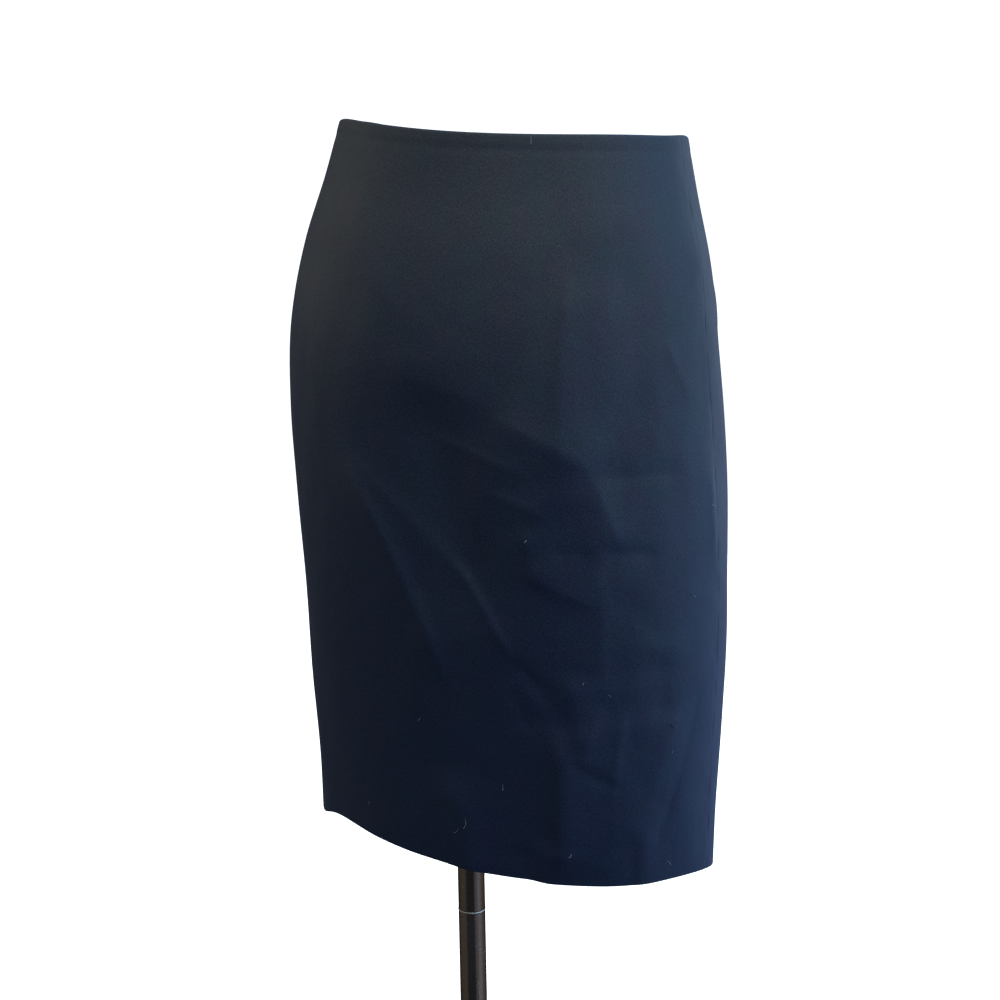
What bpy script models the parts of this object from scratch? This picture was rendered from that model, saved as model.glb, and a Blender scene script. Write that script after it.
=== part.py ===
"""Pencil skirt on a hip form: back zip and back vent, on a pole and a round base.

Metres, +Z up. The origin is on the floor, on the pole's axis. -Y is the wearer's front
and +X the wearer's left. A place on the cloth is given by its turn, in degrees round the
body (0 front centre, 90 the wearer's left side seam, 180 back centre, 270 the right side
seam), and by its run, in millimetres down the cloth from the waist edge.
"""
import math
from collections import namedtuple

import bmesh
import bpy
import numpy as np
from mathutils import Matrix, Vector

MM = 0.001

# Skirt, in millimetres
LENGTH = 575.0              # cloth from waist edge to hem at the front
CLOTH = 1.5                 # wall of lined-weight suiting
SEAM_GAP = 0.6              # between neighbouring panels, at the outer face
LAYER_GAP = 0.5             # between cloth and what is sewn behind it
SEAT_GAP = 0.3              # between hard parts that rest on each other
WAIST_HEIGHT = 1040.0       # mean height of the waist edge over the floor
WAIST_FRONT_RISE = 14.0     # the waist edge climbs this far from the sides to the front
WAIST_LEFT_RISE = -7.0      # and falls a little to the wearer's left
WAIST_SIDE_RISE = 6.0       # the side seams stand this far over the centres
HEM_HEIGHT = 465.5
HEM_FRONT_RISE = 15.0
HEM_LEFT_RISE = -10.0
HEM_SIDE_RISE = 4.5
HEM_TWIST = -2.0
SIDE_TURN = 90.0
BACK_TURN = 180.0
COLUMN_STEP = 5.0           # degrees between the columns of every panel and of the form
FRONT_ROWS = 34
BACK_ROWS = 26

# Back zip and vent, in millimetres
ZIP_LENGTH = 180.0
ZIP_TOP = 3.0
TAPE_WIDTH = 11.0
TAPE_WALL = 1.0
NECK_WIDTH = 1.2            # the slider's neck, between the panels
NECK_CLEARANCE = 0.35
NECK_SLOT_LENGTH = 16.0     # the back seam stands open this far for the neck
NECK_SLOT_FADE = 26.0       # and is closed again here
SLIDER_RUN = 10.0           # the slider's middle, below the waist edge
VENT_LENGTH = 170.0
VENT_SPREAD = 6.0           # the lap's edge swings this far open at the hem
VENT_LIFT = 2.0             # and stands this far off
UNDERLAP_WIDTH = 40.0
UNDERLAP_ROOT = 12.0        # part of the underlap that lies behind the right panel
UNDERLAP_SHORT = 4.0        # the underlap ends this far above the hem

# Hip form, in millimetres
FORM_BELOW_WAIST = 8.0
FORM_FLOOR = 775.0
FORM_EDGE_RADIUS = 16.0
FORM_CLEARANCE = 0.6        # the cloth rests on the form at this distance
FORM_EASE = 3.0             # and has this much more room below its waist
FORM_EASE_RUNS = (25.0, 90.0)
FORM_TAPER = 6.0            # extra clearance at the form's foot
SACRUM_HOLLOW = 5.5         # hollow at the back centre that the cloth bridges
SACRUM_SPREAD = 26.0        # degrees
SACRUM_FADE = (190.0, 250.0)
FORM_RINGS = 11
FORM_TOP_RINGS = ((0.45, 2.0), (0.85, 1.6), (0.975, 1.0))   # share of the top's width, rise

# Stand, in millimetres
POLE_RADIUS = 11.1
POLE_JOINT_HEIGHT = 411.6
RING_HEIGHT = 1.4
RING_RADIUS = 11.35
FLANGE_RADIUS = 42.0
FLANGE_PLATE = 4.0
COLLAR_RADIUS = 16.5
COLLAR_HEIGHT = 34.0
BORE_CLEARANCE = 0.3        # round the pole in its collars
BASE_RADIUS = 160.0
BASE_THICKNESS = 7.0
SOCKET_FOOT_RADIUS = 38.0
SOCKET_HEIGHT = 52.0
ROUND_SEGMENTS = 48

# The cloth's cross-sections: drop is the share of the way from the waist edge to the hem.
# Each one is a half ellipse in front and another behind, about (shift_x, shift_y).
Section = namedtuple("Section", "drop half_width front_depth back_depth shift_x shift_y")
SECTIONS = (
    Section(0.00, 144.0, 94.0, 102.0, 22.5, 45.0),
    Section(0.07, 154.0, 99.0, 112.0, 21.5, 40.0),
    Section(0.16, 168.5, 107.5, 126.5, 19.5, 34.0),
    Section(0.27, 178.5, 114.0, 139.5, 18.0, 27.5),
    Section(0.39, 182.5, 118.5, 142.0, 19.5, 27.5),
    Section(0.52, 183.0, 120.0, 138.0, 21.0, 31.0),
    Section(0.65, 182.0, 118.5, 131.0, 21.5, 35.0),
    Section(0.78, 179.0, 113.5, 122.0, 19.5, 38.5),
    Section(0.90, 176.0, 108.5, 110.0, 17.5, 42.0),
    Section(1.00, 175.5, 107.0, 103.0, 14.0, 47.0),
)

# Where an edge of the cloth leaves its even line, up or down, round a turn.
EdgeWave = namedtuple("EdgeWave", "turn spread rise")
WAIST_WAVES = (EdgeWave(102.0, 18.0, 4.0), EdgeWave(-76.0, 16.0, -5.0))
HEM_WAVES = (EdgeWave(-66.0, 12.0, -12.0), EdgeWave(-40.0, 14.0, 1.5), EdgeWave(80.0, 24.0, 5.0))

# Soft folds: each bends from (turn, run) by (bend_turn, bend_run) to (end_turn, end_run),
# and fades out at both ends. Rise is outward; the hem's folds end below the hem.
Fold = namedtuple("Fold", "turn run bend_turn bend_run end_turn end_run half_width rise")
FOLDS = (
    Fold(2, 188, 31, 216, 62, 250, 30, 3.4),       # drag line from the front to the left hip
    Fold(-3, 163, 5, 269, 13, 380, 27, -4.2),      # the flat plane that falls away under it
    Fold(-26, 250, -12, 312, 0, 430, 14, 2.4),     # the two long folds on the right thigh
    Fold(-10, 268, 2, 306, 18, 390, 18, 2.2),
    Fold(55, 60, 56, 140, 58, 260, 28, -1.8),      # hollow towards the left side seam
    Fold(35, 390, 35, 430, 39, 470, 18, 1.8),
    Fold(32, 430, 34, 500, 32, 660, 17, 4.0),      # broken fold above the hem
    Fold(79, 370, 64, 462, 52, 620, 26, 2.6),
    Fold(3, 480, 4, 550, 9, 660, 20, 3.4),         # hem waves at the front
    Fold(-66, 380, -48, 520, -40, 760, 28, 1.6),
    Fold(106, 330, 136, 300, 172, 236, 22, 3.0),   # under the seat
    Fold(250, 340, 226, 316, 190, 250, 24, 3.2),
    Fold(112, 320, 132, 430, 140, 640, 26, 3.2),   # down the back
    Fold(252, 350, 228, 470, 214, 700, 28, 3.2),
    Fold(152, 460, 150, 540, 150, 760, 20, -3.0),
)
FOLD_STEPS = 8              # straight steps that a fold's bend is measured by
FOLD_FADE = 0.3             # share of a fold's way over which it rises and dies away
RUN_PER_DEGREE = 2.8        # mean girth of one degree, for distances across a fold

SECTION_DROPS = np.array([section.drop for section in SECTIONS])


def section_curve(name):
    """Values and slopes of one column of SECTIONS, for a smooth curve through it."""
    values = np.array([getattr(section, name) for section in SECTIONS])
    return values, np.gradient(values, SECTION_DROPS)


CURVES = {name: section_curve(name) for name in Section._fields[1:]}


def section_value(name, drop):
    """One column of SECTIONS at any drop, by cubic pieces with matching slopes."""
    values, slopes = CURVES[name]
    drop = min(max(drop, 0.0), 1.0)
    index = min(int(np.searchsorted(SECTION_DROPS, drop, side="right")) - 1, len(values) - 2)
    span = SECTION_DROPS[index + 1] - SECTION_DROPS[index]
    share = (drop - SECTION_DROPS[index]) / span
    rest = 1.0 - share
    start = values[index] * (1.0 + 2.0 * share) + span * slopes[index] * share
    end = values[index + 1] * (3.0 - 2.0 * share) - span * slopes[index + 1] * rest
    return float(start * rest * rest + end * share * share)


def smooth_step(low, high, value):
    share = min(max((value - low) / (high - low), 0.0), 1.0)
    return share * share * (3.0 - 2.0 * share)


def edge_height(turn, mean, front_rise, left_rise, side_rise, twist, waves):
    angle = math.radians(turn)
    level = mean + front_rise * math.cos(angle) + left_rise * math.sin(angle)
    level += twist * math.sin(2 * angle) - side_rise * math.cos(2 * angle)
    for wave in waves:
        off = (turn - wave.turn + 180.0) % 360.0 - 180.0
        level += wave.rise * math.exp(-(off / wave.spread) ** 2)
    return level


def waist_height(turn):
    return edge_height(turn, WAIST_HEIGHT, WAIST_FRONT_RISE, WAIST_LEFT_RISE, WAIST_SIDE_RISE,
                       0.0, WAIST_WAVES)


def hem_height(turn):
    return edge_height(turn, HEM_HEIGHT, HEM_FRONT_RISE, HEM_LEFT_RISE, HEM_SIDE_RISE,
                       HEM_TWIST, HEM_WAVES)


def fold_path(fold):
    """Points along a fold's bend, in millimetres of girth and of run."""
    path = []
    for step in range(FOLD_STEPS + 1):
        share = step / FOLD_STEPS
        start, bend, end = (1.0 - share) ** 2, 2.0 * share * (1.0 - share), share * share
        turn = start * fold.turn + bend * fold.bend_turn + end * fold.end_turn
        run = start * fold.run + bend * fold.bend_run + end * fold.end_run
        path.append(Vector((turn * RUN_PER_DEGREE, run)))
    return path


FOLD_PATHS = [fold_path(fold) for fold in FOLDS]


def nearest_on_path(path, place):
    """Distance from a place to a path, and the share of the path's way to its foot."""
    nearest, nearest_share = math.inf, 0.0
    for step, (start, end) in enumerate(zip(path, path[1:])):
        way = end - start
        share = min(max((place - start).dot(way) / way.length_squared, 0.0), 1.0)
        distance = (place - start - share * way).length
        if distance < nearest:
            nearest, nearest_share = distance, (step + share) / FOLD_STEPS
    return nearest, nearest_share


def fold_rise(turn, run):
    """How far all folds together push the cloth out at one place."""
    total = 0.0
    for fold, path in zip(FOLDS, FOLD_PATHS):
        middle = fold.bend_turn
        near_turn = middle + (turn - middle + 180.0) % 360.0 - 180.0
        distance, share = nearest_on_path(path, Vector((near_turn * RUN_PER_DEGREE, run)))
        fade = smooth_step(0.0, FOLD_FADE, share) * (1.0 - smooth_step(1.0 - FOLD_FADE, 1.0, share))
        total += fold.rise * fade * math.exp(-(distance / fold.half_width) ** 2)
    return total


def section_point(turn, drop, height, outward):
    """A point of the cloth's section at this drop, moved level along its outward normal."""
    angle = math.radians(turn)
    side, back = math.sin(angle), -math.cos(angle)
    half_width = section_value("half_width", drop)
    depth = section_value("back_depth" if back > 0 else "front_depth", drop)
    normal = Vector((depth * side, half_width * back, 0.0)).normalized()
    centre = Vector((section_value("shift_x", drop), section_value("shift_y", drop), height))
    return centre + Vector((half_width * side, depth * back, 0.0)) + outward * normal


def cloth_point(turn, run, outward=0.0):
    """The cloth's outer face, in metres."""
    drop = run / LENGTH
    top = waist_height(turn)
    height = top + (hem_height(turn) - top) * drop
    return section_point(turn, drop, height, outward + fold_rise(turn, run)) * MM


def clear_scene():
    for item in list(bpy.data.objects):
        bpy.data.objects.remove(item, do_unlink=True)


def make_material(name, color, roughness, metallic=0.0):
    material = bpy.data.materials.new(name)
    material.use_nodes = True
    shader = material.node_tree.nodes["Principled BSDF"]
    shader.inputs["Base Color"].default_value = (*color, 1.0)
    shader.inputs["Roughness"].default_value = roughness
    shader.inputs["Metallic"].default_value = metallic
    return material


def add_object(name, data, collection, material):
    item = bpy.data.objects.new(name, data)
    item.data.materials.append(material)
    collection.objects.link(item)
    return item


def mesh_object(name, mesh_builder, collection, material, smooth=True):
    mesh = bpy.data.meshes.new(name)
    mesh_builder.to_mesh(mesh)
    mesh_builder.free()
    if smooth:
        mesh.shade_smooth()
        mesh.set_sharp_from_angle(angle=math.radians(40))
    return add_object(name, mesh, collection, material)


def cloth_sheet(name, columns, runs, place, wall, collection, material):
    """A grid laid on the cloth by place(column, run), and thickened inwards."""
    builder = bmesh.new()
    bmesh.ops.create_grid(builder, x_segments=len(columns) - 1, y_segments=len(runs) - 1, size=0.5)
    for vertex in builder.verts:
        column = columns[round((vertex.co.x + 0.5) * (len(columns) - 1))]
        run = runs[round((0.5 - vertex.co.y) * (len(runs) - 1))]
        vertex.co = place(column, run)
    sheet = mesh_object(name, builder, collection, material)
    solidify = sheet.modifiers.new("cloth wall", "SOLIDIFY")
    solidify.thickness = wall * MM
    solidify.offset = -1.0
    solidify.use_even_offset = True
    return sheet


def spread(first, last, count):
    """count + 1 even values from first to last."""
    return [first + (last - first) * index / count for index in range(count + 1)]


def degrees_at_back(run, length):
    """Degrees that a length of girth takes up at the back centre."""
    return math.degrees(length / section_value("half_width", run / LENGTH))


def back_edge(run, side):
    """Turn of a back panel's centre edge: side is -1 for the left panel, 1 for the right."""
    slot = NECK_WIDTH + 2 * NECK_CLEARANCE
    closing = smooth_step(NECK_SLOT_LENGTH, NECK_SLOT_FADE, run)
    swing = 0.0
    if side < 0:
        swing = VENT_SPREAD * max((run - LENGTH + VENT_LENGTH) / VENT_LENGTH, 0.0) ** 2
    half_gap = (slot + (SEAM_GAP - slot) * closing) / 2
    return BACK_TURN + side * degrees_at_back(run, half_gap + swing)


def front_panel(collection, material):
    edge = math.degrees(SEAM_GAP / 2 / section_value("front_depth", 0.5))
    inner = spread(-SIDE_TURN, SIDE_TURN, round(2 * SIDE_TURN / COLUMN_STEP))
    columns = [-SIDE_TURN + edge] + inner[1:-1] + [SIDE_TURN - edge]
    runs = spread(0.0, LENGTH, FRONT_ROWS)
    return cloth_sheet("front_panel", columns, runs, cloth_point, CLOTH, collection, material)


def back_panel(name, side, collection, material):
    """side is -1 for the wearer's left panel and 1 for the right one."""
    edge = math.degrees(SEAM_GAP / 2 / section_value("back_depth", 0.5))
    count = round(SIDE_TURN / COLUMN_STEP)
    shares = spread(0.0, 1.0, count)
    side_turn = BACK_TURN + side * (SIDE_TURN - edge)
    slot_runs = [0.0, NECK_SLOT_LENGTH / 2, NECK_SLOT_LENGTH]
    runs = slot_runs + spread(NECK_SLOT_FADE, LENGTH, BACK_ROWS)

    def place(share, run):
        centre = back_edge(run, side)
        near_side = share if side > 0 else 1.0 - share
        turn = BACK_TURN + side * COLUMN_STEP * count * near_side
        if near_side == 0.0:
            turn = centre
        elif near_side == 1.0:
            turn = side_turn
        lift = 0.0
        if side < 0:
            free = smooth_step(LENGTH - VENT_LENGTH, LENGTH, run)
            lift = VENT_LIFT * free * (1.0 - smooth_step(0.0, 0.25, near_side))
        return cloth_point(turn, run, lift)

    return cloth_sheet(name, shares, runs, place, CLOTH, collection, material)


def vent_underlap(collection, material):
    """The strip of the right panel that goes on behind the left one at the vent."""
    shares = spread(0.0, 1.0, 5)
    runs = spread(LENGTH - VENT_LENGTH - 6.0, LENGTH - UNDERLAP_SHORT, 9)

    def place(share, run):
        across = -UNDERLAP_WIDTH + (UNDERLAP_WIDTH + UNDERLAP_ROOT) * share
        turn = BACK_TURN + degrees_at_back(run, across)
        return cloth_point(turn, run, -CLOTH - LAYER_GAP)

    return cloth_sheet("vent_underlap", shares, runs, place, CLOTH, collection, material)


def zip_tape(name, side, collection, material):
    shares = spread(0.0, 1.0, 3)
    runs = spread(ZIP_TOP, ZIP_TOP + ZIP_LENGTH, 10)
    inner_edge = NECK_WIDTH / 2 + NECK_CLEARANCE

    def place(share, run):
        across = inner_edge + TAPE_WIDTH * (share if side > 0 else 1.0 - share)
        turn = BACK_TURN + side * degrees_at_back(run, across)
        return cloth_point(turn, run, -CLOTH - LAYER_GAP)

    return cloth_sheet(name, shares, runs, place, TAPE_WALL, collection, material)


# The slider's sizes in its own frame: x across, y out of the cloth, z up along the cloth.
SLIDER_PLATE = (7.5, 2.0, 10.0)
ARCH_WIDTH = 1.6
ARCH_STANDOFF = 0.3
ARCH_BAR = 0.6
ARCH_WINDOW = (2.0, 4.2)    # out of the cloth, along the cloth
ARCH_LEG = 0.8
PULL_THICKNESS = 1.0
PULL_BAR = 1.0              # square bar at the pull's top, inside the arch
PULL_LENGTH = 23.0
PULL_WIDTH = 6.2
PULL_NECK_WIDTH = 4.9
PULL_WINDOW = (2.4, 4.8)
PULL_LEAN = 2.0             # degrees that the hanging pull leans on the cloth
ARCH_MIDDLE = ARCH_STANDOFF + ARCH_BAR + ARCH_WINDOW[0] / 2
PIN_BELOW_MIDDLE = 0.9      # the pull's bar hangs at the foot of the window


def slider_frame():
    """Origin on the cloth at the slider's middle; Z up the cloth, Y out of it."""
    middle = cloth_point(BACK_TURN, SLIDER_RUN)
    up = (cloth_point(BACK_TURN, 0.0) - cloth_point(BACK_TURN, 2 * SLIDER_RUN)).normalized()
    up.x = 0.0
    up.normalize()
    across = Vector((1.0, 0.0, 0.0))
    out = up.cross(across)
    axes = Matrix((across, out, up)).transposed()
    return Matrix.Translation(middle) @ axes.to_4x4()


def box_builder(builder, size, centre):
    made = bmesh.ops.create_cube(builder, size=1.0)
    for vertex in made["verts"]:
        vertex.co = Vector([vertex.co[axis] * size[axis] + centre[axis] for axis in range(3)]) * MM


def cutter_box(name, size, centre, collection, frame):
    builder = bmesh.new()
    box_builder(builder, size, centre)
    mesh = bpy.data.meshes.new(name)
    builder.to_mesh(mesh)
    builder.free()
    item = bpy.data.objects.new(name, mesh)
    item.matrix_world = frame
    item.hide_render = True
    item.display_type = "WIRE"
    collection.objects.link(item)
    return item


def add_boolean(item, cutter, operation):
    boolean = item.modifiers.new(cutter.name, "BOOLEAN")
    boolean.object = cutter
    boolean.operation = operation
    boolean.solver = "EXACT"


def zip_slider(collection, cutters, material, frame):
    plate_top = -(CLOTH + LAYER_GAP + TAPE_WALL + SEAT_GAP)
    plate_y = plate_top - SLIDER_PLATE[1] / 2
    arch_depth = 2 * ARCH_BAR + ARCH_WINDOW[0]
    arch_height = 2 * ARCH_LEG + ARCH_WINDOW[1]
    arch_y = ARCH_STANDOFF + arch_depth / 2
    builder = bmesh.new()
    box_builder(builder, (ARCH_WIDTH, arch_depth, arch_height), (0.0, arch_y, 0.0))
    slider = mesh_object("zip_slider", builder, collection, material, smooth=False)
    slider.matrix_world = frame
    window_size = (2 * ARCH_WIDTH, *ARCH_WINDOW)
    window = cutter_box("slider_window", window_size, (0.0, arch_y, 0.0), cutters, frame)
    neck_depth = ARCH_STANDOFF + ARCH_BAR / 2 - plate_top + SLIDER_PLATE[1] / 2
    neck_y = ARCH_STANDOFF + ARCH_BAR / 2 - neck_depth / 2
    neck = cutter_box("slider_neck", (NECK_WIDTH, neck_depth, 4.0), (0.0, neck_y, 0.0), cutters, frame)
    plate = cutter_box("slider_plate", SLIDER_PLATE, (0.0, plate_y, 0.0), cutters, frame)
    add_boolean(slider, window, "DIFFERENCE")
    add_boolean(slider, neck, "UNION")
    add_boolean(slider, plate, "UNION")
    return slider


def pull_outline():
    """Half-round drop, widest near its foot; the bar's middle is at (0, 0), z down."""
    top = PULL_BAR / 2
    foot_radius = PULL_WIDTH / 2
    foot_centre = -(PULL_LENGTH - top - foot_radius)
    points = [(-PULL_NECK_WIDTH / 2, top)]
    for angle in spread(180.0, 360.0, 12):
        turn = math.radians(angle)
        points.append((foot_radius * math.cos(turn), foot_centre + foot_radius * math.sin(turn)))
    points.append((PULL_NECK_WIDTH / 2, top))
    return points


def pull_window():
    half = PULL_WINDOW[0] / 2
    top = -PULL_BAR / 2
    foot = top - PULL_WINDOW[1]
    bevel = half / 2
    return [
        (-half, top), (half, top), (half, foot + bevel),
        (half - bevel, foot), (bevel - half, foot), (-half, foot + bevel),
    ]


def zip_pull(collection, material, frame):
    """A flat drop with a window: an extruded outline, its origin on the hinge axis."""
    curve = bpy.data.curves.new("zip_pull", "CURVE")
    curve.dimensions = "2D"
    curve.fill_mode = "BOTH"
    curve.extrude = PULL_THICKNESS / 2 * MM
    for outline in (pull_outline(), pull_window()):
        spline = curve.splines.new("POLY")
        spline.points.add(len(outline) - 1)
        for point, (x, z) in zip(spline.points, outline):
            point.co = (x * MM, z * MM, 0.0, 1.0)
        spline.use_cyclic_u = True
    pull = add_object("zip_pull", curve, collection, material)
    pin = Vector((0.0, ARCH_MIDDLE, -PIN_BELOW_MIDDLE)) * MM
    stand_up = Matrix.Rotation(math.radians(90.0 - PULL_LEAN), 4, "X")
    pull.matrix_world = frame @ Matrix.Translation(pin) @ stand_up
    return pull


def form_point(turn, share):
    """The form's side, from its top edge (share 0) to the start of its round foot (share 1)."""
    waist = waist_height(turn)
    height = (waist - FORM_BELOW_WAIST) * (1.0 - share) + (FORM_FLOOR + FORM_EDGE_RADIUS) * share
    drop = (waist - height) / (waist - hem_height(turn))
    return section_point(turn, drop, height, -form_inset(turn, drop, share))


def form_inset(turn, drop, share):
    off_back = abs((turn - BACK_TURN + 180.0) % 360.0 - 180.0)
    hollow = SACRUM_HOLLOW * math.exp(-(off_back / SACRUM_SPREAD) ** 2)
    hollow *= 1.0 - smooth_step(*SACRUM_FADE, drop * LENGTH)
    ease = FORM_EASE * smooth_step(*FORM_EASE_RUNS, drop * LENGTH)
    return CLOTH + FORM_CLEARANCE + ease + hollow + FORM_TAPER * smooth_step(0.55, 1.0, share)


def form_rings():
    """Rings of points from the middle of the top to the middle of the foot."""
    turns = spread(0.0, 360.0, round(360.0 / COLUMN_STEP))[:-1]
    side = [[form_point(turn, share) for turn in turns] for share in spread(0.0, 1.0, FORM_RINGS)]
    rings = []
    for share, rise in FORM_TOP_RINGS:
        rings.append([drawn_in(point, side[0], share, rise) for point in side[0]])
    rings += side
    for angle in (30.0, 60.0, 90.0):
        turn = math.radians(angle)
        inset = FORM_EDGE_RADIUS * (1.0 - math.cos(turn))
        fall = FORM_EDGE_RADIUS * math.sin(turn)
        rings.append([foot_point(bearing, inset, fall) for bearing in turns])
    return rings


def drawn_in(point, ring, share, rise):
    """A ring's point moved towards the ring's middle, to share of its distance."""
    centre = sum(ring, Vector()) / len(ring)
    return centre + (point - centre) * share + Vector((0.0, 0.0, rise))


def foot_point(turn, inset, fall):
    top = FORM_FLOOR + FORM_EDGE_RADIUS
    drop = (waist_height(turn) - top) / (waist_height(turn) - hem_height(turn))
    return section_point(turn, drop, top - fall, -form_inset(turn, drop, 1.0) - inset)


def form_body(collection, material):
    """A loft through the rings, closed by a fan at the top and a flat foot."""
    builder = bmesh.new()
    rings = [[builder.verts.new(point * MM) for point in ring] for ring in form_rings()]
    count = len(rings[0])
    for upper, lower in zip(rings, rings[1:]):
        for index in range(count):
            follow = (index + 1) % count
            builder.faces.new((upper[index], lower[index], lower[follow], upper[follow]))
    centre = builder.verts.new(sum((vertex.co for vertex in rings[0]), Vector()) / count)
    for index in range(count):
        builder.faces.new((centre, rings[0][index], rings[0][(index + 1) % count]))
    builder.faces.new(list(reversed(rings[-1])))
    return mesh_object("form_body", builder, collection, material)


def turned(name, profile, collection, material):
    """A solid of revolution about the pole's axis; profile runs down its outer side."""
    builder = bmesh.new()
    vertices = [builder.verts.new(Vector((radius, 0.0, height)) * MM) for radius, height in profile]
    closed = profile[0][0] > 0.0 and profile[-1][0] > 0.0
    for first, second in zip(vertices, vertices[1:] + vertices[:1] if closed else vertices[1:]):
        builder.edges.new((first, second))
    item = mesh_object(name, builder, collection, material)
    screw = item.modifiers.new("turn", "SCREW")
    screw.steps = ROUND_SEGMENTS
    screw.render_steps = ROUND_SEGMENTS
    screw.merge_threshold = 0.00005
    screw.use_merge_vertices = True
    screw.use_smooth_shade = True
    return item


def pole_tube(name, low, high, radius, collection, material):
    profile = [(0.0, high), (radius, high), (radius, low), (0.0, low)]
    return turned(name, profile, collection, material)


def form_flange(collection, material):
    """A plate under the form with a collar round the pole's top."""
    top = FORM_FLOOR - SEAT_GAP
    bore = POLE_RADIUS + BORE_CLEARANCE
    under = top - FLANGE_PLATE
    foot = under - COLLAR_HEIGHT
    profile = [
        (bore, top), (FLANGE_RADIUS, top), (FLANGE_RADIUS, under + 1.0), (FLANGE_RADIUS - 1.0, under),
        (COLLAR_RADIUS + 3.0, under), (COLLAR_RADIUS, under - 3.0),
        (COLLAR_RADIUS, foot + 1.0), (COLLAR_RADIUS - 1.0, foot), (bore, foot),
    ]
    return turned("form_flange", profile, collection, material)


def base_socket(collection, material):
    low = BASE_THICKNESS + SEAT_GAP
    bore = POLE_RADIUS + BORE_CLEARANCE
    top = low + SOCKET_HEIGHT
    profile = [
        (bore, top), (COLLAR_RADIUS - 1.0, top), (COLLAR_RADIUS, top - 1.5),
        (COLLAR_RADIUS + 1.0, top - 24.0), (COLLAR_RADIUS + 5.0, low + 13.0),
        (SOCKET_FOOT_RADIUS - 7.0, low + 6.0), (SOCKET_FOOT_RADIUS, low + 3.5),
        (SOCKET_FOOT_RADIUS, low), (bore, low),
    ]
    return turned("base_socket", profile, collection, material)


def base_plate(collection, material):
    profile = [
        (0.0, BASE_THICKNESS), (BASE_RADIUS - 5.0, BASE_THICKNESS),
        (BASE_RADIUS - 1.5, BASE_THICKNESS - 1.8), (BASE_RADIUS, BASE_THICKNESS - 3.6),
        (BASE_RADIUS, 1.5), (BASE_RADIUS - 1.5, 0.0), (0.0, 0.0),
    ]
    return turned("base_plate", profile, collection, material)


def make_collection(name):
    collection = bpy.data.collections.new(name)
    bpy.context.scene.collection.children.link(collection)
    return collection


def parent_to_empty(name, children, collection):
    empty = bpy.data.objects.new(name, None)
    collection.objects.link(empty)
    for child in children:
        child.parent = empty
    return empty


NAVY = (0.010, 0.016, 0.034)
TAPE_NAVY = (0.008, 0.010, 0.022)
ZIP_METAL = (0.03, 0.035, 0.05)
JERSEY = (0.62, 0.57, 0.49)
CHROME = (0.32, 0.32, 0.34)
BRIGHT_CHROME = (0.75, 0.74, 0.72)


def build_skirt(collection):
    pieces = [
        front_panel(collection, make_material("front_suiting", NAVY, 0.85)),
        vent_underlap(collection, make_material("underlap_suiting", NAVY, 0.87)),
    ]
    for word, side in (("left", -1), ("right", 1)):
        suiting = make_material(f"back_{word}_suiting", NAVY, 0.85)
        tape_weave = make_material(f"zip_tape_{word}_weave", TAPE_NAVY, 0.8)
        pieces.append(back_panel(f"back_{word}_panel", side, collection, suiting))
        pieces.append(zip_tape(f"zip_tape_{word}", side, collection, tape_weave))
    return pieces


def build_zip_hardware(collection, cutters):
    frame = slider_frame()
    zip_slider(collection, cutters, make_material("slider_metal", ZIP_METAL, 0.35, 1.0), frame)
    zip_pull(collection, make_material("pull_metal", ZIP_METAL, 0.3, 1.0), frame)


def build_pole(collection):
    gap = SEAT_GAP / 2
    ring_low = POLE_JOINT_HEIGHT
    ring_high = ring_low + RING_HEIGHT
    upper_steel = make_material("pole_upper_chrome", CHROME, 0.2, 1.0)
    ring_steel = make_material("ring_chrome", BRIGHT_CHROME, 0.15, 1.0)
    lower_steel = make_material("pole_lower_chrome", CHROME, 0.2, 1.0)
    head, foot = FORM_FLOOR - SEAT_GAP, BASE_THICKNESS + SEAT_GAP
    return [
        pole_tube("pole_upper", ring_high + gap, head, POLE_RADIUS, collection, upper_steel),
        pole_tube("pole_ring", ring_low + gap, ring_high - gap, RING_RADIUS, collection, ring_steel),
        pole_tube("pole_lower", foot, ring_low - gap, POLE_RADIUS, collection, lower_steel),
    ]


def build_stand(collection):
    return build_pole(collection) + [
        form_body(collection, make_material("form_jersey", JERSEY, 0.9)),
        form_flange(collection, make_material("flange_steel", CHROME, 0.25, 1.0)),
        base_socket(collection, make_material("socket_chrome", CHROME, 0.2, 1.0)),
        base_plate(collection, make_material("base_chrome", CHROME, 0.22, 1.0)),
    ]


def main():
    clear_scene()
    collection = make_collection("pencil_skirt_on_form")
    cutters = make_collection("cutters")
    parent_to_empty("stand", build_stand(collection), collection)
    parent_to_empty("skirt", build_skirt(collection), collection)
    build_zip_hardware(collection, cutters)


main()
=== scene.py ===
"""The looks of the pencil skirt on its hip form: cloth, seams, zip, form, stand and studio.

The frame is in metres, +Z up, -Y the wearer's front and +X the wearer's left. A place on the
cloth is a turn, in degrees round the body (0 front centre, 90 the left side seam, 180 back
centre), and a run, in millimetres down the cloth from the waist edge. The object's sizes are
in millimetres here, and become metres at the points of its meshes; the studio's are in metres.
"""
import math
from collections import namedtuple

import bmesh
import bpy
import numpy as np
from mathutils import Matrix, Vector


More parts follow.
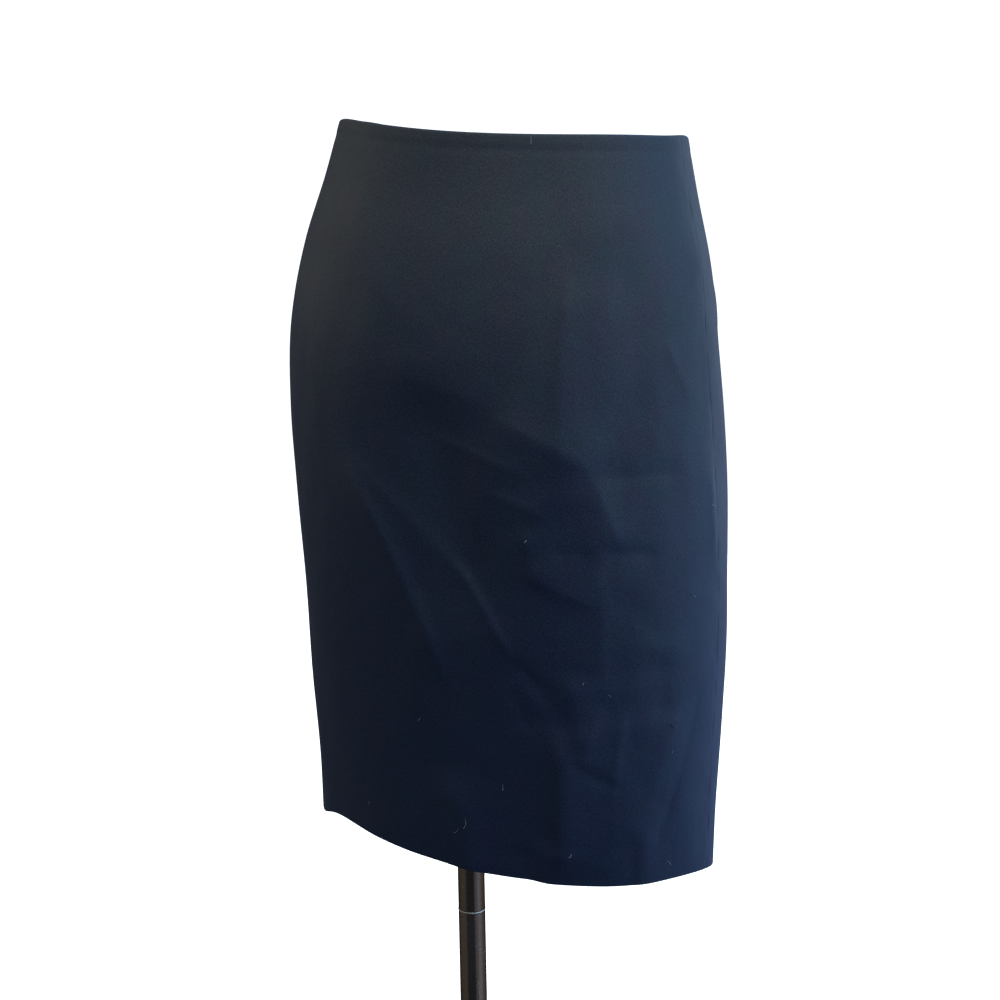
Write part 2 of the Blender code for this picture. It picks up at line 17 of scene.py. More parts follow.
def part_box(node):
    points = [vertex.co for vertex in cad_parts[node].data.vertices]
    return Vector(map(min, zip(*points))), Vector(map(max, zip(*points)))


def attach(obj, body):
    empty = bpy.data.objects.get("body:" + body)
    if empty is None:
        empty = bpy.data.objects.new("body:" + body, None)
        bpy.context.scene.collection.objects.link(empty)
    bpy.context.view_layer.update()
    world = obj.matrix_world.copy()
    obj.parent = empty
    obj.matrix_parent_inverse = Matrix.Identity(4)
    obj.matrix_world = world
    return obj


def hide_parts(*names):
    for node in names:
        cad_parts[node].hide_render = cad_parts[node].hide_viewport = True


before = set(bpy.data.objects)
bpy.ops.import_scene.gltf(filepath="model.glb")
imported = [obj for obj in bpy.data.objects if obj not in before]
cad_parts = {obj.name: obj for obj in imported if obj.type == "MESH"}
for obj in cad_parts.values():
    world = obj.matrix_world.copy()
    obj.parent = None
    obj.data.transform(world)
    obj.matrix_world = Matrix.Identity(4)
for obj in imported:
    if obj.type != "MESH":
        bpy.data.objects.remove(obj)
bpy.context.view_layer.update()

MM = 0.001
BODY = "stand_and_skirt"


def table(columns, *rows):
    """Rows of values with named columns."""
    return tuple(map(namedtuple("Row", columns)._make, rows))


# ---- the cloth's form
LENGTH = 575
CLOTH = 1.5  # the wall
SIDE_TURN = 90
BACK_TURN = 180
DEGREE_GIRTH = 2.8  # a degree of girth, near enough to place folds and the weave

SECTIONS = table(
    "drop half_width front_depth back_depth shift_x shift_y",
    (0, 144, 94, 102, 22.5, 45),
    (0.07, 154, 99, 112, 21.5, 40),
    (0.16, 168.5, 107.5, 126.5, 19.5, 34),
    (0.27, 178.5, 114, 139.5, 18, 27.5),
    (0.39, 182.5, 118.5, 142, 19.5, 27.5),
    (0.52, 183, 120, 138, 21, 31),
    (0.65, 182, 118.5, 131, 21.5, 35),
    (0.78, 179, 113.5, 122, 19.5, 38.5),
    (0.9, 176, 108.5, 110, 17.5, 42),
    (1, 175.5, 107, 103, 14, 47),
)
DROPS = np.array([section.drop for section in SECTIONS])

# Where an edge of the cloth leaves its even line, up or down, round a turn.
WAIST_WAVES = table("turn spread rise", (102, 18, 4), (-76, 16, -5))
HEM_WAVES = table("turn spread rise", (-65, 13.5, -11.5), (-40, 14, 1.5), (80, 24, 5))
WAIST, HEM = table(
    "mean front_rise left_rise side_rise twist waves",
    (1040, 14, -7, 6, 0, WAIST_WAVES),
    (465.5, 15, -10, 4.5, -2, HEM_WAVES),
)

# Creases bend from (turn, run) by (bend_turn, bend_run) to (end_turn, end_run). Each falls
# away over its own width on its upper right side and on its lower left side, from a crest
# that is as sharp as its edge is small, and rises outwards.
CREASES = table(
    "turn run bend_turn bend_run end_turn end_run width_up width_down edge rise",
    # the drag line from the front to the left hip, over a flat falling plane
    (-12, 176, 5, 185, 22, 199, 30, 33, 2, 1.8),
    (14, 201, 31, 218, 45, 245, 26, 64, 3, 5.2),
    (-3, 163, 5, 269, 13, 380, 17, 20, 18, -7),
    (0, 221, 13, 232, 28, 247, 4, 6, 1.5, 0.9),
    (13, 258, 22, 265, 32, 276, 4, 7, 2, 0.9),
    # pressed lines at the left hip
    (41, 245.5, 59, 246, 76, 243, 17, 31, 1, -2.3),
    (42, 238, 45, 271, 51, 305, 10, 60, 1, 1.7),
    (43, 303, 51, 302, 64, 305, 5, 16, 2, -1.2),
    (30, 301, 36, 304, 42, 302, 5, 6, 2, -0.7),
    (43, 303, 43, 354, 43, 429, 8, 17, 4, 1.5),
    (24, 281, 26, 307, 26, 334, 18, 6, 2, 1.7),
    (23, 318, 32, 333, 44, 344, 25, 8, 3, 2.2),
    (37, 76, 36, 158, 33, 258, 26, 9, 2, 2.5),
    (54, 54, 56, 139, 58, 259, 18, 31, 19, -3.2),
    (47, 329, 55, 346, 61, 381, 13, 17, 7, -1.2),
    (63, 377, 61, 413, 63, 444, 13, 15, 9, -1.8),
    # drag lines from the side seams
    (66, 147, 80, 106, 98, 82, 9, 18, 1.5, 1.1),
    (67, 140, 71, 166, 79, 198, 13, 5, 1.5, 1),
    (-42, 48, -23, 92, 7, 164, 55, 11, 7, 1.5),
    (-62, 96, -55, 122, -51, 172, 5, 7, 2, 0.7),
    (-41, 168, -37, 204, -36, 240, 5, 6, 2, 0.5),
    (87, 229, 85, 280, 87, 322, 7, 11, 2, 1.6),
    # the two long folds on the right thigh
    (-30, 238, -6, 282, 12, 345, 8, 48, 6, 2.2),
    (3, 308, 13, 344, 22.5, 406, 3, 6, 1.2, 1.9),
    (16, 378, 25, 402, 34, 440, 3, 12, 2, -0.7),
    (-26, 246, -8, 318, 5, 442, 6, 11, 4, 4),
    (-44, 99, -39, 200, -33, 330, 14, 14, 5, 0.7),
    # broken folds above the hem
    (18, 388, 25, 407, 34, 420, 6, 15, 2, -1),
    (35, 393, 35, 431, 39, 467, 22, 9, 4, 3),
    (31, 433, 33, 494, 31.5, 580, 20, 6, 7, 6.5),
    (33, 466, 41, 484, 52, 495, 4, 5, 1, -0.7),
    (43, 418, 48, 410, 60, 405, 7, 6, 1.5, 0.4),
    (50, 420, 48, 460, 46, 512, 4, 5, 1.5, 0.9),
    (43, 419, 39, 449, 37, 485, 5, 7, 1.5, 1.1),
    (24, 410, 25, 420, 28, 436, 4, 5, 2, 0.7),
    (19, 408, 21, 430, 24, 452, 4, 4, 2, -0.9),
    (77, 380, 63, 466, 51, 562, 42, 14, 6, 1.9),
    (81, 398, 74, 468, 58, 562, 7, 32, 3, -2.3),
    # the wavy hem
    (3, 484, 4, 546, 9, 604, 10, 13, 8, 4.8),
    (29, 535, 28, 564, 28, 591, 20, 7, 5, 3),
    (21, 540, 23, 560, 23, 600, 8, 8, 3, -1.2),
    (51, 521, 53, 551, 54, 600, 7, 11, 6, -0.8),
    (59, 520, 57, 550, 55, 600, 8, 6, 3, 0.6),
    # under the seat, and the pulls from the side seams at the back
    (108, 318, 136, 300, 174, 238, 15, 12, 4, 3),
    (252, 330, 226, 316, 188, 250, 14, 16, 4.5, 3),
    (112, 350, 138, 345, 168, 318, 10, 9, 3, -1.8),
    (246, 368, 222, 356, 196, 322, 10, 9, 3, -1.6),
    (100, 96, 112, 132, 122, 168, 4, 5, 1.5, 0.9),
    (262, 100, 250, 128, 240, 170, 4, 4, 1.5, 0.9),
    # storage presses and long folds at the back
    (112, 330, 132, 430, 140, 640, 15, 18, 5, 3),
    (254, 350, 228, 470, 214, 700, 16, 18, 5.5, 3),
    (126, 240, 140, 243, 158, 240, 6, 4, 1.5, -1),
    (204, 430, 222, 428, 240, 432, 4, 3, 1.5, -0.9),
    (152, 460, 150, 540, 150, 760, 12, 14, 4, -2.6),
    (224, 372, 230, 404, 244, 424, 4, 6, 1.5, 0.9),
    (196, 300, 212, 312, 226, 338, 4, 6, 1.5, 0.8),
    (146, 120, 146, 180, 148, 250, 3, 3, 1.5, 0.4),
    (214, 110, 214, 190, 212, 260, 3, 3, 1.5, 0.4),
    (188, 420, 190, 500, 196, 640, 9, 9, 3, 1.2),
)
CREASE_STEPS = 8
CREASE_FADE = 0.3  # the share of its way over which a crease rises and dies away
CREASE_CREST = 3  # half the strip in which its two widths blend

# Slow unevenness of cloth that hangs: girth and run are wavelengths in millimetres.
RIPPLES = table(
    "girth run phase height",
    (173, 421, 0.7, 0.45),
    (-97, 236, 2.1, 0.28),
    (61, -187, 4.4, 0.16),
    (39, 118, 1.3, 0.07),
)
RIPPLE_AT_WAIST = 0.35  # the share of its height that it has where the waist holds it
RIPPLE_FREE = (30, 200)


def smooth_step(low, high, value):
    share = np.clip((value - low) / (high - low), 0, 1)
    return share * share * (3 - 2 * share)


def bell(offset, spread):
    return np.exp(-(offset / spread) ** 2)


def half_turn(turn):
    """A turn as one between -180 and 180 degrees."""
    return (turn + 180) % 360 - 180


def section_value(name, drop):
    """One column of SECTIONS at any drops, by cubic pieces with matching slopes."""
    values = np.array([getattr(section, name) for section in SECTIONS])
    slopes = np.gradient(values, DROPS)
    drop = np.clip(drop, 0, 1)
    index = np.clip(np.searchsorted(DROPS, drop, side="right") - 1, 0, len(values) - 2)
    span = DROPS[index + 1] - DROPS[index]
    share = (drop - DROPS[index]) / span
    rest = 1 - share
    start = values[index] * (1 + 2 * share) + span * slopes[index] * share
    end = values[index + 1] * (3 - 2 * share) - span * slopes[index + 1] * rest
    return start * rest * rest + end * share * share


def edge_height(edge, turn):
    """The height of the WAIST or the HEM."""
    angle = np.radians(turn)
    level = edge.mean + edge.front_rise * np.cos(angle) + edge.left_rise * np.sin(angle)
    level = level + edge.twist * np.sin(2 * angle) - edge.side_rise * np.cos(2 * angle)
    for wave in edge.waves:
        level = level + wave.rise * bell(half_turn(turn - wave.turn), wave.spread)
    return level


def crease_rise(turn, run):
    """How far the creases push the cloth out, for arrays of turns and runs."""
    total = np.zeros_like(turn)
    shares = np.linspace(0, 1, CREASE_STEPS + 1)
    start, bend, end = (1 - shares) ** 2, 2 * shares * (1 - shares), shares ** 2
    for crease in CREASES:
        girth = (crease.bend_turn + half_turn(turn - crease.bend_turn)) * DEGREE_GIRTH
        path_x = start * crease.turn + bend * crease.bend_turn + end * crease.end_turn
        path_x = path_x * DEGREE_GIRTH
        path_y = start * crease.run + bend * crease.bend_run + end * crease.end_run
        nearest = np.full_like(turn, np.inf)
        side, place = np.zeros_like(turn), np.zeros_like(turn)
        for step in range(CREASE_STEPS):
            way_x = path_x[step + 1] - path_x[step]
            way_y = path_y[step + 1] - path_y[step]
            off_x, off_y = girth - path_x[step], run - path_y[step]
            length = math.hypot(way_x, way_y)
            share = np.clip((off_x * way_x + off_y * way_y) / length ** 2, 0, 1)
            distance = np.hypot(off_x - share * way_x, off_y - share * way_y)
            closer = distance < nearest
            cross = (way_x * off_y - way_y * off_x) / length
            nearest = np.where(closer, distance, nearest)
            side = np.where(closer, cross, side)
            place = np.where(closer, (step + share) / CREASE_STEPS, place)
        blend = smooth_step(-CREASE_CREST, CREASE_CREST, side)
        width = crease.width_up + (crease.width_down - crease.width_up) * blend
        fade = smooth_step(0, CREASE_FADE, place) * (1 - smooth_step(1 - CREASE_FADE, 1, place))
        fall = (np.hypot(nearest, crease.edge) - crease.edge) / width
        total += crease.rise * fade * np.exp(-fall)
    return total


def ripple_rise(turn, run):
    total = np.zeros_like(turn)
    for ripple in RIPPLES:
        wave = 2 * math.pi * (turn * DEGREE_GIRTH / ripple.girth + run / ripple.run)
        total += ripple.height * np.sin(wave + ripple.phase)
    return total * (RIPPLE_AT_WAIST + (1 - RIPPLE_AT_WAIST) * smooth_step(*RIPPLE_FREE, run))


def section_point(turn, drop, height, outward):
    """Points in millimetres on the cloth's section, moved level along its outward normal."""
    angle = np.radians(turn)
    side, back = np.sin(angle), -np.cos(angle)
    half_width = section_value("half_width", drop)
    front = section_value("front_depth", drop)
    rear = section_value("back_depth", drop)
    depth = np.where(back > 0, rear, front)
    normal_x, normal_y = depth * side, half_width * back
    size = np.hypot(normal_x, normal_y)
    x = section_value("shift_x", drop) + half_width * side + outward * normal_x / size
    y = section_value("shift_y", drop) + depth * back + outward * normal_y / size
    return np.stack(np.broadcast_arrays(x, y, height), axis=-1)


def cloth_point(turn, run, outward):
    """Points in metres, outward millimetres off the cloth's outer face."""
    turn, run = np.broadcast_arrays(np.asarray(turn, float), np.asarray(run, float))
    top = edge_height(WAIST, turn)
    drop = run / LENGTH
    height = top + (edge_height(HEM, turn) - top) * drop
    rise = crease_rise(turn, run) + ripple_rise(turn, run)
    return section_point(turn, drop, height, rise + outward) * MM


def degrees_for(turn, run, length):
    """Degrees that a length of girth takes up there."""
    drop = run / LENGTH
    angle = np.radians(turn)
    half_width = section_value("half_width", drop)
    depth = section_value("back_depth" if abs(turn) > SIDE_TURN else "front_depth", drop)
    speed = np.hypot(half_width * np.cos(angle), depth * np.sin(angle))
    return np.degrees(length / speed)


# ---- mesh helpers
SOFT_ANGLE = 50  # edges sharper than this, in degrees, stay sharp on cloth
TUBE_ANGLE = 60
METAL_ANGLE = 32
FLOOR_ANGLE = 40


def add_object(data):
    """An object of a mesh, a light or a camera, under the same name."""
    item = bpy.data.objects.new(data.name, data)
    bpy.context.scene.collection.objects.link(item)
    return item


def link(mesh, smooth_angle):
    item = add_object(mesh)
    mesh.shade_smooth()
    mesh.set_sharp_from_angle(angle=math.radians(smooth_angle))
    return item


def dress(piece, material, node=None):
    """A piece's material and body, and the CAD node that it replaces."""
    piece.data.materials.append(material)
    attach(piece, BODY)
    if node:
        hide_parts(node)


def new_mesh(name, points, faces):
    mesh = bpy.data.meshes.new(name)
    mesh.from_pydata(points.reshape(-1, 3).tolist(), [], faces)
    mesh.validate()
    return mesh


def wall_mesh(name, outer, inner, girth, runs):
    """A closed wall between two grids of points, with girth and run as its UV, in metres."""
    index = np.arange(girth.size).reshape(girth.shape)
    corners = index[:-1, :-1], index[1:, :-1], index[1:, 1:], index[:-1, 1:]
    quads = np.stack(corners, axis=-1).reshape(-1, 4)
    border = np.concatenate([index[0, :-1], index[:-1, -1], index[-1, :0:-1], index[:0:-1, 0]])
    follow = np.roll(border, -1)
    rim = np.stack([border, follow, follow + index.size, border + index.size], axis=1)
    faces = np.concatenate([quads, quads[:, ::-1] + index.size, rim])
    mesh = new_mesh(name, np.stack([outer, inner]), faces.tolist())
    uv = np.tile(np.stack([girth, runs], axis=-1).reshape(-1, 2) * MM, (2, 1))
    mesh.uv_layers.new(name="cloth").data.foreach_set("uv", uv[faces.ravel()].ravel())
    return mesh


def loft_mesh(name, rings, hollow=False):
    """A closed mesh through rings of points: capped at both ends, or round a hollow."""
    rows, columns = rings.shape[:2]
    index = np.arange(rows * columns).reshape(rows, columns)
    caps = [] if hollow else [index[0].tolist(), index[-1][::-1].tolist()]
    if hollow:
        index = np.concatenate([index, index[:1]])
    follow = np.roll(index, -1, axis=1)
    quads = np.stack([index[:-1], index[1:], follow[1:], follow[:-1]], axis=-1).reshape(-1, 4)
    return new_mesh(name, rings, quads.tolist() + caps)


def tube(path, radius, sides=6, taper=0.55):
    """A closed tube along a path in metres, thinner at its ends; radius is in millimetres."""
    path = np.asarray(path, float)
    way = np.gradient(path, axis=0)
    way /= np.linalg.norm(way, axis=1)[:, None]
    no_path = np.array([0.31, 0.87, 0.38])  # a way that no tube here takes
    first = np.cross(way, no_path)
    first /= np.linalg.norm(first, axis=1)[:, None]
    second = np.cross(way, first)
    sizes = radius * MM * (1 - taper * np.abs(np.linspace(-1, 1, len(path))) ** 4)
    angles = np.linspace(0, 2 * math.pi, sides, endpoint=False)[:, None]
    circle = first[:, None] * np.cos(angles) + second[:, None] * np.sin(angles)
    return loft_mesh("tube", path[:, None] + circle * sizes[:, None, None])


def join(name, meshes):
    """One mesh of several."""
    builder = bmesh.new()
    for mesh in meshes:
        builder.from_mesh(mesh)
        bpy.data.meshes.remove(mesh)
    whole = bpy.data.meshes.new(name)
    builder.to_mesh(whole)
    builder.free()
    return whole


def graded(first, last, step, fine=(0, 0.3, 0.8, 1.5, 2.6)):
    """Even values from first to last with finer ones at both ends."""
    fine = np.array(fine)
    count = max(int(round((last - first - 2 * fine[-1]) / step)), 1)
    middle = np.linspace(first + fine[-1], last - fine[-1], count + 1)
    return np.concatenate([first + fine[:-1], middle, last - fine[:-1][::-1]])


def edge_round(distance, radius):
    """How far a rounded edge falls back at a distance in from it."""
    share = np.clip(1 - distance / radius, 0, 1)
    return radius * (1 - np.sqrt(1 - share * share))


# ---- the skirt's panels
GRID_STEP = 2.6
STRIP_STEP = 5
THINNEST = 0.25
SEAM_GAP = 0.05
SIDE_RADIUS = 120  # of the cloth at a side seam, about
PANEL_TURN = SIDE_TURN - math.degrees(SEAM_GAP / 2 / SIDE_RADIUS)
SEAM_EDGE = 0.22  # the radius of a panel's edge at a seam
SEAM_SINK, SEAM_SPREAD = 0.07, 1.3
SEAM_ROLL = 0.05  # the seam allowance lifts the cloth beside the seam
ROLL_PLACE, ROLL_SPREAD = 3.4, 2
PUCKER = 0.14
PUCKER_PLACE, PUCKER_SPREAD = 5, 7
PUCKERS = table("share length shift beat beat_shift", (1, 5.3, 1, 31, 2.3), (0.8, 13, 1.7, 53, 1))

WAIST_BAND = 11  # the depth of the pressed edge
WAIST_BAND_RISE = 0.22
WAIST_GROOVE = 0.22
WAIST_FOLD = 1.3  # the radius of the turned edge
HEM_TURN_UP = 36
HEM_WALL = 2.3
HEM_FOLD = 1.1
HEM_PRINT = 0.05  # how far the turn-up's upper edge shows through
HEM_SWELL = 0.06
PRINT_SPREAD = 2.2

ZIP_LENGTH = 180
ZIP_TOP = 3
VENT_LENGTH = 170
VENT_SPREAD = 6  # how far the vent's free edge swings out, at the hem
VENT_LIFT = 2
VENT_CURL = 22
SLOT_WIDTH = 1.9  # the backs part a little round the zip's slider
SLOT_LENGTH = 16
SLOT_FADE = 26

DARTS = table("turn length lean", (157, 118, -1.5), (203, 122, 1.5))
DART_DEPTH, DART_SPREAD = 0.75, 1.5
DART_FULL = 0.75  # the share of its length over which a dart is at its deepest
TIP_RISE, TIP_SPREAD, TIP_BELOW = 0.5, 11, 6

UNDERLAP = (-40, 12)  # its edges, in millimetres of girth from the back centre
TAPE = (0.95, 11.95)  # a zip tape's
BEHIND = 0.5  # what lies behind the cloth stands this far off it
ALLOWANCE, HEM_ALLOWANCE = 12, 10
ALLOWANCE_GAP, ALLOWANCE_WALL = 0.12, 0.35


def waist_relief(run):
    """The turned waist edge: a slightly raised band over a pressed groove."""
    band = WAIST_BAND_RISE * (1 - smooth_step(WAIST_BAND - 4, WAIST_BAND + 1, run))
    groove = WAIST_GROOVE * bell(run - WAIST_BAND - 0.6, PRINT_SPREAD)
    return band - groove - edge_round(run, WAIST_FOLD)


def hem_relief(run):
    """The turned-up hem: its upper edge just shows through, and its fold is round."""
    below = run - LENGTH + HEM_TURN_UP
    relief = HEM_PRINT * bell(below, PRINT_SPREAD) + HEM_SWELL * smooth_step(0, 5, below)
    return relief - edge_round(LENGTH - run, HEM_FOLD)


def seam_relief(distance, run, phase):
    """A pressed seam: the cloth dips into it and puckers a little along it."""
    shiver = sum(p.share * np.sin(run / p.length + p.shift * phase)
                 * np.sin(run / p.beat + p.beat_shift * phase) for p in PUCKERS)
    roll = SEAM_ROLL * (1 + 0.5 * shiver) * bell(distance - ROLL_PLACE, ROLL_SPREAD)
    pucker = PUCKER * shiver * bell(distance - PUCKER_PLACE, PUCKER_SPREAD)
    return pucker + roll - SEAM_SINK * bell(distance, SEAM_SPREAD) - edge_round(distance, SEAM_EDGE)


def dart_relief(turn, run):
    """A dart: a stitched dip that dies away, with a slight fullness under its tip."""
    total = np.zeros_like(turn)
    for dart in DARTS:
        distance = np.abs(turn - dart.turn - dart.lean * run / dart.length) * DEGREE_GIRTH
        depth = DART_DEPTH * (1 - smooth_step(DART_FULL * dart.length, dart.length, run))
        total -= depth * bell(distance, DART_SPREAD)
        total += TIP_RISE * bell(np.hypot(distance, run - dart.length - TIP_BELOW), TIP_SPREAD)
    return total


def degree_length(name, run):
    """A degree, in millimetres, where this column of SECTIONS is the radius."""
    return section_value(name, run / LENGTH) * math.radians(1)


def panel_wall(name, turns, runs, relief):
    """A panel's wall from grids of turns and runs; relief is what its edges and seams add."""
    turn_up = LENGTH - HEM_TURN_UP
    wall = CLOTH + (HEM_WALL - CLOTH) * smooth_step(turn_up - 1, turn_up, runs)
    inside = np.minimum(edge_round(LENGTH - runs, HEM_FOLD) - wall, relief - THINNEST)
    return wall_mesh(name, cloth_point(turns, runs, relief), cloth_point(turns, runs, inside),
                     turns * DEGREE_GIRTH, runs)


def front_panel():
    half = PANEL_TURN * DEGREE_GIRTH
    turns, runs = np.meshgrid(graded(-half, half, GRID_STEP) / DEGREE_GIRTH,
                              graded(0, LENGTH, GRID_STEP))
    relief = waist_relief(runs) + hem_relief(runs)
    for turn, phase in ((PANEL_TURN, 0.4), (-PANEL_TURN, 1.9)):
        distance = np.abs(turns - turn) * degree_length("front_depth", runs)
        relief += seam_relief(distance, runs, phase)
    return panel_wall("skirt_front", turns, runs, relief)


def back_panel(name, side):
    """side is -1 for the wearer's left panel and 1 for the right one."""
    off_centre, runs = np.meshgrid(
        graded(0, PANEL_TURN * DEGREE_GIRTH, GRID_STEP) / DEGREE_GIRTH,
        graded(0, LENGTH, GRID_STEP))
    gap = SLOT_WIDTH + (SEAM_GAP - SLOT_WIDTH) * smooth_step(SLOT_LENGTH, SLOT_FADE, runs)
    down_vent = np.clip((runs - LENGTH + VENT_LENGTH) / VENT_LENGTH, 0, 1)
    swing = VENT_SPREAD * down_vent ** 2 if side < 0 else 0
    edge = degrees_for(BACK_TURN, runs, gap / 2 + swing)
    near = np.clip(1 - off_centre / PANEL_TURN, 0, 1) ** 4
    turns = BACK_TURN + side * (off_centre + edge * near)
    side_distance = (PANEL_TURN - off_centre) * degree_length("back_depth", runs)
    back_distance = off_centre * degree_length("half_width", runs)
    relief = waist_relief(runs) + hem_relief(runs) + dart_relief(turns, runs)
    relief += seam_relief(side_distance, runs, 2.4 + side)
    relief += seam_relief(back_distance, runs, 3.1 + 0.2 * side)
    if side < 0:
        free = smooth_step(LENGTH - VENT_LENGTH, LENGTH, runs)
        relief += VENT_LIFT * free * (1 - smooth_step(0, VENT_CURL, off_centre))
    return panel_wall(name, turns, runs, relief)


def strip(name, centre_turn, low, high, runs, inward, wall):
    """A flat strip behind the cloth, low to high millimetres of girth from centre_turn."""
    across = graded(low, high, GRID_STEP, fine=(0, 0.4))
    offset, runs = np.meshgrid(across, runs)
    turns = centre_turn + degrees_for(centre_turn, runs, offset)
    return wall_mesh(name, cloth_point(turns, runs, -inward),
                     cloth_point(turns, runs, -inward - wall), turns * DEGREE_GIRTH, runs)


def build_skirt(suiting, wrong_side, tape):
    for mesh, node, hip_width, area in (
        (front_panel(), "front_panel", 0.485, 0.267),
        (back_panel("skirt_back_left", -1), "back_left_panel", 0.257, 0.139),
        (back_panel("skirt_back_right", 1), "back_right_panel", 0.257, 0.139),
    ):
        piece = link(mesh, SOFT_ANGLE)
        dress(piece, suiting, node)

    vent_runs = graded(LENGTH - VENT_LENGTH - 6, LENGTH - 1.2, GRID_STEP)
    underlap = link(strip("skirt_vent_underlap", BACK_TURN, *UNDERLAP, vent_runs,
                          CLOTH + BEHIND, CLOTH), SOFT_ANGLE)
    dress(underlap, suiting, "vent_underlap")

    side_runs = graded(2, LENGTH - HEM_TURN_UP - 2, STRIP_STEP)
    back_runs = graded(ZIP_TOP + ZIP_LENGTH + 1, LENGTH - VENT_LENGTH - 8, STRIP_STEP)
    hem_runs = graded(LENGTH - HEM_TURN_UP - 4, LENGTH - 1.5, STRIP_STEP)
    allowances = []
    for turn, width, runs, front in (
        (SIDE_TURN, ALLOWANCE, side_runs, CLOTH),
        (-SIDE_TURN, ALLOWANCE, side_runs, CLOTH),
        (BACK_TURN, ALLOWANCE, back_runs, CLOTH),
        (SIDE_TURN, HEM_ALLOWANCE, hem_runs, HEM_WALL),
        (-SIDE_TURN, HEM_ALLOWANCE, hem_runs, HEM_WALL),
    ):
        allowances.append(strip("allowance", turn, -width, width, runs, front + ALLOWANCE_GAP,
                                ALLOWANCE_WALL))
    dress(link(join("seam_allowances", allowances), SOFT_ANGLE), wrong_side)

    tape_runs = graded(ZIP_TOP, ZIP_TOP + ZIP_LENGTH, 4)
    for side, edges in (("left", (-TAPE[1], -TAPE[0])), ("right", TAPE)):
        weave = strip(f"zip_tape_{side}_weave", BACK_TURN, *edges, tape_runs, CLOTH + BEHIND, 0.8)
        dress(link(weave, SOFT_ANGLE), tape, f"zip_tape_{side}")


# ---- small things on the cloth
# heading 0 runs towards the left side seam and 90 down the cloth; curl is its whole bend
FIBRE_COLUMNS = "turn run length heading curl radius"
LINT = table(
    FIBRE_COLUMNS,
    (-27, 545, 5, 70, 80, 0.2),
    (6, 529, 9, 75, 50, 0.22),
    (2.6, 544, 7, -20, -60, 0.2),
    (34.5, 545.5, 4, 60, 120, 0.29),
    (25, 293, 2.6, 50, 160, 0.32),
    (16, 495, 5.5, 80, 30, 0.22),
    (74, 340, 4, 20, 50, 0.18),
    (84.5, 272.5, 6, 5, 20, 0.22),
    (66, 558, 6, 20, 60, 0.17),
    (38, 403, 2.4, 40, 100, 0.2),
    (66.5, 463, 3, 60, 90, 0.2),
    (26.2, 1.2, 6.5, 84, 12, 0.18),
    (-6, 452, 4, 110, 40, 0.15),
    (45, 413, 3, 20, 80, 0.15),
    (118, 300, 5, 40, 70, 0.18),
    (143, 512, 8, 80, -90, 0.18),
    (163, 238, 3, 10, 120, 0.22),
    (202, 446, 5, -40, 70, 0.2),
    (229, 548, 6, 65, 100, 0.18),
    (238, 172, 3, 95, 40, 0.18),
    (276, 418, 5, 30, 60, 0.18),
)
SNAGS = table(FIBRE_COLUMNS, (65.6, 441, 7, 62, -48, 0.42), (221, 362, 5, 100, 60, 0.36))
FIBRE_STEPS = 14
FIBRE_END_LIFT = 0.5
TACKS = range(-1, 7)  # stitches at the vent's top, in a slanting row
ZIP_COILS = 142
COIL_STEPS = 9
COIL_WIDTH, COIL_DEPTH, COIL_BEHIND = 0.72, 0.55, 1.25


def fibre_path(fibre, lift):
    """Points along a fibre that lies on the cloth, its ends a little off it."""
    heading = math.radians(fibre.heading)
    turn, run = fibre.turn, fibre.run
    step = fibre.length / FIBRE_STEPS
    path = []
    for index in range(FIBRE_STEPS + 1):
        raised = lift + FIBRE_END_LIFT * abs(2 * index / FIBRE_STEPS - 1) ** 3
        path.append(cloth_point(turn, run, raised))
        turn += degrees_for(turn, run, step * math.cos(heading))
        run += step * math.sin(heading)
        heading += math.radians(fibre.curl) / FIBRE_STEPS
    return path


def tack_path(index):
    """A stitch, its ends under the cloth's face."""
    share = np.linspace(0, 1, 7)
    run = LENGTH - VENT_LENGTH - 3 + 1.6 * index + 2.4 * share
    return cloth_point(BACK_TURN - 0.9 * index, run, 0.25 - 0.9 * np.abs(2 * share - 1) ** 3)


def coil_path():
    """The zip's teeth, wound of one thread."""
    share = np.arange(0, 1, 1 / (ZIP_COILS * COIL_STEPS))
    angle = 2 * math.pi * ZIP_COILS * share
    run = ZIP_TOP + 0.5 + (ZIP_LENGTH - 6) * share
    across = degrees_for(BACK_TURN, run, COIL_WIDTH * np.cos(angle))
    return cloth_point(BACK_TURN + across, run, COIL_DEPTH * np.sin(angle) - CLOTH - COIL_BEHIND)


def build_small_things(lint, thread, coil):
    for name, tubes, material, slot in (
        ("lint", [tube(fibre_path(row, 0.2), row.radius) for row in LINT], lint, "suiting"),
        ("snags", [tube(fibre_path(row, 0.12), row.radius) for row in SNAGS], thread, "suiting"),
        ("vent_tacks", [tube(tack_path(index), 0.24) for index in TACKS], thread, "suiting"),
        ("zip_coil", [tube(coil_path(), 0.2, 5, 0)], coil, "zip_tape"),
    ):
        dress(link(join(name, tubes), TUBE_ANGLE), material)


